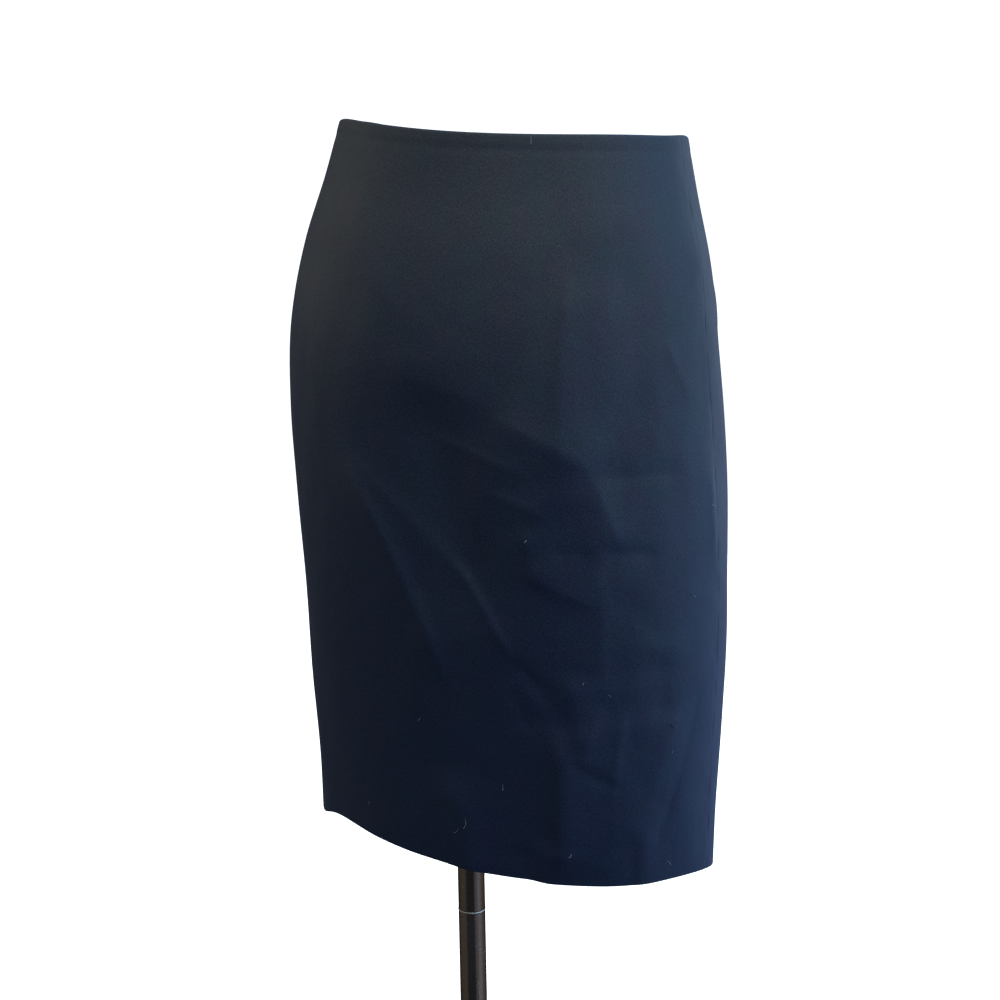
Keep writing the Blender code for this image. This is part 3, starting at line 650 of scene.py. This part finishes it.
# ---- materials
class Shader:
    """A node tree of a material or world, with short calls to add nodes to it."""

    def __init__(self, name, owners=bpy.data.materials, last="Principled BSDF"):
        self.owner = owners.new(name)
        self.owner.use_nodes = True
        self.tree = self.owner.node_tree
        self.last = self.tree.nodes[last]

    def node(self, kind, inputs=None, **settings):
        made = self.tree.nodes.new("ShaderNode" + kind)
        for name, value in settings.items():
            setattr(made, name, value)
        for name, value in (inputs or {}).items():
            self.feed(made.inputs[name], value)
        return made

    def feed(self, socket, value):
        """A socket's link or value; a colour needs no alpha."""
        if isinstance(value, bpy.types.NodeSocket):
            self.tree.links.new(value, socket)
        elif socket.type == "RGBA":
            socket.default_value = (*value, 1)
        else:
            socket.default_value = value

    def finish(self, **inputs):
        """Sets the last node's inputs, and returns the material or world."""
        for name, value in inputs.items():
            self.feed(self.last.inputs[name.replace("_", " ")], value)
        return self.owner

    def place(self):
        """The place in the object, in metres."""
        return self.node("TexCoord").outputs["Object"]

    def cloth(self):
        """The place on the cloth, girth and run in metres."""
        return self.node("UVMap", uv_map="cloth").outputs["UV"]

    def math(self, operation, first, second):
        return self.node("Math", {0: first, 1: second}, operation=operation).outputs[0]

    def scaled(self, vector, scale):
        made = self.node("VectorMath", {0: vector, 1: scale}, operation="MULTIPLY")
        return made.outputs[0]

    def noise(self, vector, scale, detail=3, roughness=0.55):
        """scale is a number, or one for each axis."""
        if isinstance(scale, tuple):
            vector, scale = self.scaled(vector, scale), 1
        inputs = {"Vector": vector, "Scale": scale, "Detail": detail, "Roughness": roughness}
        return self.node("TexNoise", inputs).outputs["Fac"]

    def bands(self, vector, scale, direction, **more):
        inputs = {"Vector": vector, "Scale": scale}
        inputs.update((name.replace("_", " "), value) for name, value in more.items())
        return self.node("TexWave", inputs, bands_direction=direction).outputs["Fac"]

    def ramp(self, value, low, high, start, end):
        """value from low to high becomes start to end."""
        made = self.node("MapRange", {"Value": value, "From Min": low, "From Max": high,
                                      "To Min": start, "To Max": end})
        return made.outputs["Result"]

    def mix(self, share, first, second):
        made = self.node("Mix", {"Factor": share}, data_type="RGBA")
        self.feed(made.inputs[6], first)
        self.feed(made.inputs[7], second)
        return made.outputs[2]

    def tones(self, value, low, high, first, second):
        """The first colour up to the low value and the second one from the high value on."""
        return self.mix(self.ramp(value, low, high, 0, 1), first, second)

    def bump(self, height, strength, distance, normal=None):
        inputs = {"Height": height, "Strength": strength, "Distance": distance}
        if normal is not None:
            inputs["Normal"] = normal
        return self.node("Bump", inputs).outputs["Normal"]


def tinted(color, factor, most=1):
    """A colour made lighter or darker."""
    return tuple(min(channel * factor, most) for channel in color)


# The cloth's colour low and high on the skirt. The change between them is painted light: greyer
# towards the waist for the veil that light from above lays on it, and bluer towards the hem for the
# blue shade there.
NAVY_LOW = (0.004, 0.01, 0.035)
NAVY_HIGH = (0.005, 0.01, 0.027)
PLUM_CAST = (1.045, 0.965, 1)
TEAL_CAST = (0.955, 1.035, 1)
GRAIN = (1.15, 1.85)  # the usual lowest and highest sum of the weave's three noises


def suiting_material(name="navy_suiting", lighter=1):
    """Smooth wool: a fine weave, a soft grain, and a cast that drifts from plum to teal."""
    mat = Shader(name)
    place, cloth = mat.place(), mat.cloth()
    height = mat.node("SeparateXYZ", {0: place}).outputs["Z"]
    clouds = mat.noise(cloth, 9, 4)
    # painted light: the colour goes greyer with height, as if lit from above, with a slow random
    # drift of tone mixed in
    painted_light_by_height_and_drift = mat.math("ADD", mat.ramp(height, 0.55, 1.05, 0, 1),
                    mat.ramp(clouds, 0.3, 0.7, -0.1, 0.1))
    patches = mat.noise(cloth, (42, 26, 1), 2)
    cast = mat.tones(patches, 0.38, 0.62, PLUM_CAST, TEAL_CAST)
    base = mat.scaled(mat.mix(painted_light_by_height_and_drift, NAVY_LOW, NAVY_HIGH), cast)
    weft = mat.noise(cloth, (460, 1300, 1), 2)
    warp = mat.noise(cloth, (1300, 460, 1), 2)
    nap = mat.noise(cloth, 640, 2, 0.7)
    grain = mat.math("ADD", mat.math("ADD", weft, warp), nap)
    tone = mat.ramp(grain, *GRAIN, 0.62 * lighter, 1.42 * lighter)
    color = mat.node("VectorMath", {0: base, "Scale": tone}, operation="SCALE").outputs[0]
    twill = mat.bands(cloth, 420, "DIAGONAL", Distortion=1.2, Detail=2, Detail_Scale=1.5)
    surface = mat.bump(twill, 0.2, 0.0002)
    surface = mat.bump(grain, 0.15, 0.0004, surface)
    crumple = mat.math("MULTIPLY", mat.noise(cloth, 56, 3, 0.5),
                       mat.ramp(height, 0.5, 0.95, 2.1, 0.8))
    surface = mat.bump(crumple, 0.4, 0.0006, surface)
    slack = mat.noise(cloth, (26, 17, 1), 2, 0.5)
    surface = mat.bump(slack, 0.5, 0.0016, surface)
    return mat.finish(Base_Color=color, Normal=surface, Specular_Tint=cast,
                      Roughness=mat.ramp(clouds, 0.3, 0.7, 0.53, 0.59),
                      Specular_IOR_Level=mat.ramp(grain, *GRAIN, 0.29, 0.41),
                      Sheen_Weight=0.01, Sheen_Roughness=0.5)


def tape_material():
    mat = Shader("zip_tape_weave")
    cloth = mat.cloth()
    ribs = mat.bands(cloth, 300, "Y")
    grain = mat.noise(cloth, 1500, 2)
    color = mat.tones(grain, 0.3, 0.7, (0.006, 0.008, 0.018), (0.012, 0.015, 0.032))
    return mat.finish(Base_Color=color, Roughness=0.8, Normal=mat.bump(ribs, 0.5, 0.0003))


def thread_material(name, low, high, roughness=0.7):
    """Twisted thread or fibre between two tones."""
    mat = Shader(name)
    grain = mat.noise(mat.place(), 2600, 3)
    return mat.finish(Base_Color=mat.tones(grain, 0.35, 0.65, low, high), Roughness=roughness,
                      Normal=mat.bump(grain, 0.4, 0.0002))


def jersey_material():
    mat = Shader("natural_jersey")
    place = mat.place()
    wales = mat.bands(place, 210, "X", Distortion=0.8)
    courses = mat.bands(place, 150, "DIAGONAL", Distortion=0.8)
    knit = mat.math("MULTIPLY", wales, courses)
    grain = mat.noise(place, 900, 3)
    clouds = mat.noise(place, 9, 3)
    color = mat.tones(clouds, 0.3, 0.7, (0.48, 0.375, 0.31), (0.54, 0.43, 0.36))
    color = mat.mix(mat.ramp(mat.math("ADD", knit, grain), 0.5, 1.2, 0.35, 0), color,
                    (0.3, 0.24, 0.18))
    surface = mat.bump(grain, 0.4, 0.0005, mat.bump(knit, 0.5, 0.0005))
    return mat.finish(Base_Color=color, Roughness=0.9, Normal=surface, Sheen_Weight=0.2)


def chrome_material(name, color, roughness=0.16):
    """Plated tube: smudges that run along it, and fine scratches."""
    mat = Shader(name)
    place = mat.place()
    smudge = mat.noise(place, (60, 60, 9), 4)
    scratch = mat.noise(place, (340, 340, 1300), 2)
    marks = mat.ramp(scratch, 0.64, 0.74, 0, 1)
    tone = mat.tones(smudge, 0.35, 0.65, tinted(color, 0.84), tinted(color, 1.08))
    tone = mat.mix(marks, tone, tinted(color, 2, 0.95))
    rough = mat.math("ADD", mat.ramp(smudge, 0.3, 0.7, roughness, roughness * 1.6),
                     mat.math("MULTIPLY", marks, 0.18))
    return mat.finish(Base_Color=tone, Metallic=1, Roughness=rough,
                      Normal=mat.bump(scratch, 0.08, 0.0003), Specular_Tint=(0.3, 0.26, 0.22))


def spun_metal_material(name, color, roughness):
    """Satin metal off a lathe: fine rings round the pole and a few faint smudges."""
    mat = Shader(name)
    place = mat.place()
    level = mat.scaled(place, (1, 1, 0))
    radius = mat.node("VectorMath", {0: level}, operation="LENGTH").outputs["Value"]
    height = mat.node("SeparateXYZ", {0: place}).outputs["Z"]
    across = mat.node("CombineXYZ", {"X": radius, "Y": height}).outputs[0]
    rings = mat.noise(across, 2600, 3)
    smudge = mat.noise(place, 26, 4)
    tone = mat.tones(smudge, 0.35, 0.65, tinted(color, 0.9), tinted(color, 1.06))
    tone = mat.mix(mat.ramp(rings, 0.35, 0.65, 0, 0.12), tone, (0.9, 0.9, 0.9))
    rough = mat.math("ADD", mat.ramp(smudge, 0.3, 0.7, 0, 0.05),
                     mat.ramp(rings, 0.3, 0.7, roughness, roughness + 0.08))
    return mat.finish(Base_Color=tone, Metallic=1, Roughness=rough,
                      Normal=mat.bump(rings, 0.18, 0.0002))


def lacquer_material():
    mat = Shader("navy_lacquered_metal")
    wear = mat.noise(mat.place(), 700, 3)
    color = mat.tones(wear, 0.5, 0.75, (0.016, 0.02, 0.034), (0.05, 0.055, 0.07))
    rough = mat.ramp(wear, 0.3, 0.7, 0.28, 0.45)
    return mat.finish(Base_Color=color, Metallic=0.6, Roughness=rough)


# ---- form
FORM_BELOW_WAIST = 8
FORM_FLOOR = 775
FORM_EDGE_RADIUS = 16
FORM_TURNS = np.arange(0.0, 360, 2)
FORM_ROWS = 60
FORM_GAP = 0.9  # to the cloth's inner face, at the waist
FORM_EASE = 3.4  # what is added to that below the waist
EASE_RUNS = (25, 90)
FORM_TAPER = 6.5  # and towards the foot
ZIP_HOLLOW, HOLLOW_SPREAD = 5.5, 26
HOLLOW_END = (190, 250)
FORM_SEAMS = (0, 38, 90, 142, 180, 218, 270, 322)
SEAM_DIP, DIP_SPREAD = 0.5, 0.9
PIPING_RADIUS = 1.7
# The top is a low crown, and the foot is flat.
CROWN = table("share rise", (0.02, 2.4), (0.3, 2.3), (0.6, 2.2), (0.85, 1.8), (0.95, 1.4),
              (0.985, 0.7))
FOOT_SHARES = (0.6, 0.3, 0.02)


def form_inset(turn, drop, share):
    """How far the form stands in from the cloth's outer face."""
    run = drop * LENGTH
    hollow = ZIP_HOLLOW * bell(half_turn(turn - BACK_TURN), HOLLOW_SPREAD)
    hollow = hollow * (1 - smooth_step(*HOLLOW_END, run))
    ease = FORM_EASE * smooth_step(*EASE_RUNS, run)
    return CLOTH + FORM_GAP + ease + hollow + FORM_TAPER * smooth_step(0.5, 1, share)


def form_rings():
    """Rows of points from the middle of the top, down the side, to the middle of the foot."""
    waist = edge_height(WAIST, FORM_TURNS)
    length = waist - edge_height(HEM, FORM_TURNS)
    seams = sum(SEAM_DIP * bell(half_turn(FORM_TURNS - seam), DIP_SPREAD) for seam in FORM_SEAMS)
    low = FORM_FLOOR + FORM_EDGE_RADIUS
    rows = []
    for share in np.linspace(0, 1, FORM_ROWS):
        height = (waist - FORM_BELOW_WAIST) * (1 - share) + low * share
        drop = (waist - height) / length
        inset = form_inset(FORM_TURNS, drop, share) + seams
        rows.append(section_point(FORM_TURNS, drop, height, -inset))
    top = rows[0]
    crown = [top.mean(0) + (top - top.mean(0)) * row.share + (0, 0, row.rise) for row in CROWN]
    drop = (waist - low) / length
    for angle in np.radians(np.linspace(12, 90, 8)):
        inset = form_inset(FORM_TURNS, drop, 1) + FORM_EDGE_RADIUS * (1 - math.cos(angle))
        height = low - FORM_EDGE_RADIUS * math.sin(angle)
        rows.append(section_point(FORM_TURNS, drop, height, -inset))
    flat = rows[-1]
    foot = [flat.mean(0) + (flat - flat.mean(0)) * share for share in FOOT_SHARES]
    return np.array(crown + rows + foot) * MM


def form_piping():
    """The corded edge round the form's top."""
    height = edge_height(WAIST, FORM_TURNS) - FORM_BELOW_WAIST
    drop = FORM_BELOW_WAIST / LENGTH
    inset = form_inset(FORM_TURNS, drop, 0) + PIPING_RADIUS
    rows = [section_point(FORM_TURNS, drop, height + PIPING_RADIUS * math.sin(angle),
                          PIPING_RADIUS * math.cos(angle) - inset)
            for angle in np.radians(np.arange(90, -270, -30))]
    return loft_mesh("form_piping", np.array(rows) * MM, hollow=True)


def build_form(jersey):
    body = link(loft_mesh("form_jersey", form_rings()), SOFT_ANGLE)
    dress(body, jersey, "form_body")
    dress(link(form_piping(), TUBE_ANGLE), jersey)


# ---- stand
TURNED_ANGLES = np.radians(np.arange(0, 360, 3.75))
AXIS = 0.05  # the radius at which a closed end leaves off
POLE_BORE = 11.4
TUBE_EDGE, RING_EDGE = 0.12, 0.3
FLANGE_PLATE = 4
COLLAR_RADIUS = 16.5
COLLAR_EDGE = 1.2
FLARE = 7  # the socket's foot widens over this height
FLARE_HEIGHTS = (44, 30, 22, 17, 13, 10, 8, 6.5, 5.3, 4.3)
FOOT_EDGE = 3.5
PLATE_EDGE = 3.6
ROUNDING = np.radians(np.linspace(90, 0, 7))
SCREWS = 4
SCREW_PLACE = 0.72  # as a share of the flange's radius
SCREW_HEAD = table("radius depth", (4.2, -0.4), (4.2, 0.6), (3.6, 1.7), (2.2, 2.3), (1.2, 2.4),
                   (1.1, 1.2), (0.1, 1.2))
# A scratch on the pole runs from one turn and height to another, in degrees and millimetres.
SCRATCHES = table(
    "turn height end_turn end_height",
    (41, 382, 69, 386.5), (74, 375, 97, 376), (52, 352, 58, 333), (150, 300, 168, 309),
    (236, 251, 229, 228), (-60, 356, -41, 361),
)


def ring(angles, radius, height, middle=(0, 0)):
    """A level ring of points, from the front round by the left."""
    return np.stack(np.broadcast_arrays(middle[0] + radius * np.sin(angles),
                                        middle[1] - radius * np.cos(angles), height), axis=-1)


def turned(name, profile, hollow=False):
    """A profile of (radius, height) in millimetres, down its outer side, turned round the pole."""
    rings = np.array([ring(TURNED_ANGLES, *point) for point in profile]) * MM
    return link(loft_mesh(name, rings, hollow), METAL_ANGLE)


def node_size(node):
    """A turned node's radius, lowest and highest height in millimetres."""
    low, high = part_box(node)
    return high.x / MM, low.z / MM, high.z / MM


def rounded_edge(radius, top, size):
    """From a level top round to an upright side."""
    return [(radius - 2.5 * size, top)] + [
        (radius - size + size * math.cos(angle), top - size + size * math.sin(angle))
        for angle in ROUNDING]


def rod_profile(node, edge):
    radius, low, high = node_size(node)
    bottom = [(r, low + high - h) for r, h in reversed(rounded_edge(radius, high, edge))]
    return [(AXIS, high)] + rounded_edge(radius, high, edge) + bottom + [(AXIS, low)]


def plate_profile():
    radius, low, high = node_size("base_plate")
    return [(AXIS, high)] + rounded_edge(radius, high, PLATE_EDGE) + [
        (radius, low + 1.2), (radius - 0.4, low + 0.4), (radius - 1.2, low), (AXIS, low)]


def socket_profile():
    radius, low, high = node_size("base_socket")
    wider = radius - COLLAR_RADIUS
    flare = [(COLLAR_RADIUS + wider * math.exp((FOOT_EDGE - up) / FLARE), low + up)
             for up in (*FLARE_HEIGHTS, FOOT_EDGE + 0.1)]
    return [(POLE_BORE, high)] + rounded_edge(COLLAR_RADIUS, high, COLLAR_EDGE) + flare + [
        (radius, low + FOOT_EDGE - 0.5), (radius, low), (POLE_BORE, low)]


def flange_profile():
    radius, low, high = node_size("form_flange")
    under = high - FLANGE_PLATE
    return [(POLE_BORE, high), (radius, high), (radius, under + 1), (radius - 1, under),
            (COLLAR_RADIUS + 3, under), (COLLAR_RADIUS + 1, under - 1),
            (COLLAR_RADIUS, under - 3), (COLLAR_RADIUS, low + 1), (COLLAR_RADIUS - 1, low),
            (POLE_BORE, low)]


def flange_screws():
    """Round-headed screws that hold the flange to the form, heads down."""
    radius, _, high = node_size("form_flange")
    angles = np.radians(np.arange(0, 360, 15))
    meshes = []
    for index in range(SCREWS):
        turn = 2 * math.pi * (index + 0.5) / SCREWS
        middle = ring(turn, SCREW_PLACE * radius, high - FLANGE_PLATE)
        rings = [ring(angles, row.radius, middle[2] - row.depth, middle) for row in SCREW_HEAD]
        meshes.append(loft_mesh("screw", np.array(rings) * MM))
    return link(join("flange_screws", meshes), METAL_ANGLE)


def pole_scratches():
    radius = node_size("pole_lower")[0]
    meshes = []
    for scratch in SCRATCHES:
        turns = np.radians(np.linspace(scratch.turn, scratch.end_turn, 9))
        heights = np.linspace(scratch.height, scratch.end_height, 9)
        meshes.append(tube(ring(turns, radius, heights) * MM, 0.11, 5, 0.9))
    return link(join("pole_scratches", meshes), TUBE_ANGLE)


def build_stand():
    """The stand's pieces, finer than their solids. Returns the pole's tubes, and the foot's."""
    satin = spun_metal_material("satin_steel", (0.64, 0.6, 0.55), 0.24)
    # The pole's dark brown is partly its plating and partly painted reflection: it stands in for
    # the dark, warm room that the tube mirrors.
    chrome = chrome_material("pole_chrome", (0.17, 0.135, 0.105))
    polish = chrome_material("ring_polish", (0.92, 0.87, 0.78), 0.36)
    marks = thread_material("bare_scratch", (0.3, 0.3, 0.32), (0.46, 0.46, 0.48), 0.5)
    pole = []
    for end in ("upper", "lower"):
        node = f"pole_{end}"
        pole.append(turned(f"{node}_tube", rod_profile(node, TUBE_EDGE)))
        dress(pole[-1], chrome, node)
    joint = turned("pole_joint_ring", rod_profile("pole_ring", RING_EDGE))
    dress(joint, polish, "pole_ring")
    foot = []
    for node, profile, hollow in (
        ("form_flange", flange_profile(), True),
        ("base_socket", socket_profile(), True),
        ("base_plate", plate_profile(), False),
    ):
        foot.append(turned(f"{node}_turned", profile, hollow))
        dress(foot[-1], satin, node)
    foot.append(flange_screws())
    dress(foot[-1], satin)
    dress(pole_scratches(), marks)
    return pole, foot


def dress_zip():
    lacquer = lacquer_material()
    for node in ("zip_slider", "zip_pull"):
        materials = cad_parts[node].data.materials
        materials.clear()
        materials.append(lacquer)


# ---- studio and camera
CAMERA_PLACE = Vector((0.8125, -1.4059, 1.1135))
CAMERA_AZIMUTH = 29
CAMERA_TURNS = ((CAMERA_AZIMUTH, "Z"), (90 - 12.38, "X"), (-0.99, "Z"))  # azimuth, pitch, roll
CAMERA_LENS = 75.6
SENSOR = 36
SKIRT_MIDDLE = Vector((0.02, 0.03, 0.75))

# A strength of 1 lights a white wall that faces the lamp to a brightness of 1.
LAMPS = table(
    "name turn climb reach width height strength color",
    ("window_right", 88, 10, 2.6, 2.2, 2, 0.235, (0.66, 0.97, 1)),
    ("window_right_front", 48, 14, 2.8, 1.7, 2, 0.24, (0.82, 0.98, 1)),
    ("window_right_back", 128, 10, 2.6, 1.8, 2, 0.226, (0.62, 0.81, 1)),
    ("skylight_right", 80, 54, 2.6, 1.8, 1.3, 0.75, (0.28, 0.61, 1)),
    ("skylight_front", -10, 54, 2.8, 3.6, 1.6, 0.84, (0.94, 1, 0.74)),
    ("skylight_left", -80, 44, 2.8, 2, 1.6, 0.069, (1, 0.8, 0.6)),
    ("fill_left", -112, 20, 2.8, 1.6, 1.8, 0.118, (1, 0.93, 0.6)),
    ("fill_left_high", -116, 46, 2.8, 1.4, 1.2, 0.05, (1, 0.95, 0.75)),
    ("window_back", 172, 24, 2.8, 1, 2.2, 0.34, (0.66, 0.86, 1)),
    ("bounce_right", 70, -20, 1.9, 1.8, 1.2, 0.345, (0.3, 0.55, 1)),
    ("bounce_back", 122, -22, 1.9, 1.6, 1, 0.108, (0.32, 0.51, 1)),
)
WORLD_LIGHT = (0.102, 0.124, 0.176)
WORLD_CLIMB = (-0.5, 0.5, 0.55, 1.3)  # its strength goes from the third to the last

# Low cards round the pole, for its mirror image of the room alone. A card's radiance is
# what a mirror shows of it; turn is as for the lamps.
CARD_COLUMNS = "name turn reach place_height width height radiance color"
POLE_CARDS = table(
    CARD_COLUMNS,
    ("card_left", -92, 0.7, 0.12, 1.5, 0.5, 0.17, (0.92, 0.81, 0.6)),
    ("card_right", 68, 0.7, 0.12, 0.5, 0.5, 0.78, (0.56, 0.67, 1)),
    ("card_right_inner", 36, 0.7, 0.12, 0.26, 0.5, 0.3, (0.8, 0.86, 1)),
    ("card_right_back", 122, 0.7, 0.12, 0.9, 0.5, 0.3, (0.95, 0.88, 0.9)),
)
# A ring of cards for the foot and the flange, which the photograph's view doesn't take in.
FOOT_CARDS = table(CARD_COLUMNS, *(
    (f"card_{level}_{index}", 45 * index, 2.4, height, 1.3, 0.8, radiance, (1, 0.98, 0.95))
    for index, radiance in enumerate((0.8, 0.35, 0.6, 0.3, 0.75, 0.4, 0.55, 0.3))
    for level, height in (("low", 0.55), ("high", 2))))
FLOOR_REACH = 5
FLOOR_BELOW = 0.0005  # the floor lies this far under the stand's base
WALL_BEND = 2
WALL_HEIGHT = 7
CEILING_EDGE, CEILING_MIDDLE = (3, 8.5), (0.001, 8.8)  # radius, height


def make_camera():
    data = bpy.data.cameras.new("camera")
    data.lens = CAMERA_LENS
    data.sensor_width = SENSOR
    camera = add_object(data)
    place = Matrix.Translation(CAMERA_PLACE)
    for angle, axis in CAMERA_TURNS:
        place = place @ Matrix.Rotation(math.radians(angle), 4, axis)
    camera.matrix_world = place
    bpy.context.scene.camera = camera


def studio_place(turn, climb, reach, middle):
    """A place turn degrees to the camera's right of it and climb degrees up, from middle."""
    angle = math.radians(CAMERA_AZIMUTH - 90 + turn)
    level = Vector((math.cos(angle), math.sin(angle), 0)) * math.cos(math.radians(climb))
    return middle + (level + Vector((0, 0, math.sin(math.radians(climb))))) * reach


def receivers(name, pieces, link_state):
    """These pieces as a light's only receivers (INCLUDE), or all but them (EXCLUDE)."""
    collection = bpy.data.collections.new(name)
    for piece in pieces:
        collection.objects.link(piece)
    for member in collection.collection_objects:
        member.light_linking.link_state = link_state
    return collection


def add_light(row, place, aim, energy, lit):
    """A rectangular light of a row's name, width, height and color."""
    data = bpy.data.lights.new(row.name, "AREA")
    data.shape = "RECTANGLE"
    data.size, data.size_y = row.width, row.height
    data.energy = energy
    data.color = row.color
    light = add_object(data)
    light.location = place
    light.rotation_euler = (aim - place).to_track_quat("-Z", "Y").to_euler()
    light.visible_camera = False
    light.light_linking.receiver_collection = lit


def add_lamps(lit):
    for lamp in LAMPS:
        place = studio_place(lamp.turn, lamp.climb, lamp.reach, SKIRT_MIDDLE)
        energy = math.pi ** 2 * lamp.strength * lamp.reach ** 2
        add_light(lamp, place, SKIRT_MIDDLE, energy, lit)


def add_cards(cards, lit):
    for card in cards:
        middle = Vector((0, 0, card.place_height))
        place = studio_place(card.turn, 0, card.reach, middle)
        energy = math.pi * card.radiance * card.width * card.height
        add_light(card, place, middle, energy, lit)


def floor_material():
    """White, and darker within 0.3 to 0.6 m of the pole: a painted soft shadow of the stand."""
    mat = Shader("pale_floor")
    place = mat.place()
    speck = mat.ramp(mat.noise(place, 6, 3), 0.3, 0.7, 0.76, 0.8)
    parts = mat.node("SeparateXYZ", {0: place}).outputs
    squares = [mat.math("MULTIPLY", parts[axis], parts[axis]) for axis in "XY"]
    radius = mat.math("SQRT", mat.math("ADD", *squares), 0)
    tone = mat.node("CombineColor", dict.fromkeys(range(3), speck)).outputs[0]
    # painted shadow: the floor's glow falls to 0.6 near the stand
    glow_with_painted_shadow = mat.ramp(radius, 0.3, 0.6, 0.6, 1)
    return mat.finish(Base_Color=tone, Roughness=0.9, Specular_IOR_Level=0,
                      Emission_Color=(1, 1, 1), Emission_Strength=glow_with_painted_shadow)


def add_floor():
    """A round white floor that bends up into a wall; it adds no light to the object."""
    profile = [(0.001, 0), (1, 0), (FLOOR_REACH, 0)]
    profile += [(FLOOR_REACH + WALL_BEND * math.sin(angle), WALL_BEND - WALL_BEND * math.cos(angle))
                for angle in np.radians(range(10, 91, 10))]
    profile += [(FLOOR_REACH + WALL_BEND, WALL_HEIGHT), CEILING_EDGE, CEILING_MIDDLE]
    turns = np.radians(np.arange(90, 450, 5))
    rings = np.array([ring(turns, *point) for point in profile])
    floor = link(loft_mesh("floor", rings), FLOOR_ANGLE)
    floor.location.z = -FLOOR_BELOW
    floor.visible_diffuse = False
    floor.visible_glossy = False
    floor.visible_shadow = False
    floor.data.materials.append(floor_material())


def room_light():
    """Light from all round, weaker from below than from above."""
    room = Shader("studio", bpy.data.worlds, "Background")
    way = room.node("TexCoord").outputs["Generated"]
    climb = room.node("SeparateXYZ", {0: way}).outputs["Z"]
    return room.finish(Color=WORLD_LIGHT, Strength=room.ramp(climb, *WORLD_CLIMB))


def make_studio(pole, foot):
    scene = bpy.context.scene
    scene.view_settings.view_transform = "Standard"
    scene.world = room_light()
    add_lamps(receivers("all_but_bright_metal", pole + foot, "EXCLUDE"))
    add_cards(POLE_CARDS, receivers("pole", pole, "INCLUDE"))
    add_cards(FOOT_CARDS, receivers("foot", foot, "INCLUDE"))
    add_floor()


build_skirt(suiting_material(), suiting_material("suiting_wrong_side", 1.25), tape_material())
build_small_things(
    thread_material("lint_fibre", (0.09, 0.1, 0.12), (0.22, 0.23, 0.26)),
    thread_material("navy_thread", (0.003, 0.005, 0.012), (0.008, 0.012, 0.026)),
    thread_material("navy_coil", (0.006, 0.009, 0.02), (0.014, 0.018, 0.036), 0.4),
)
build_form(jersey_material())
dress_zip()
make_studio(*build_stand())
make_camera()
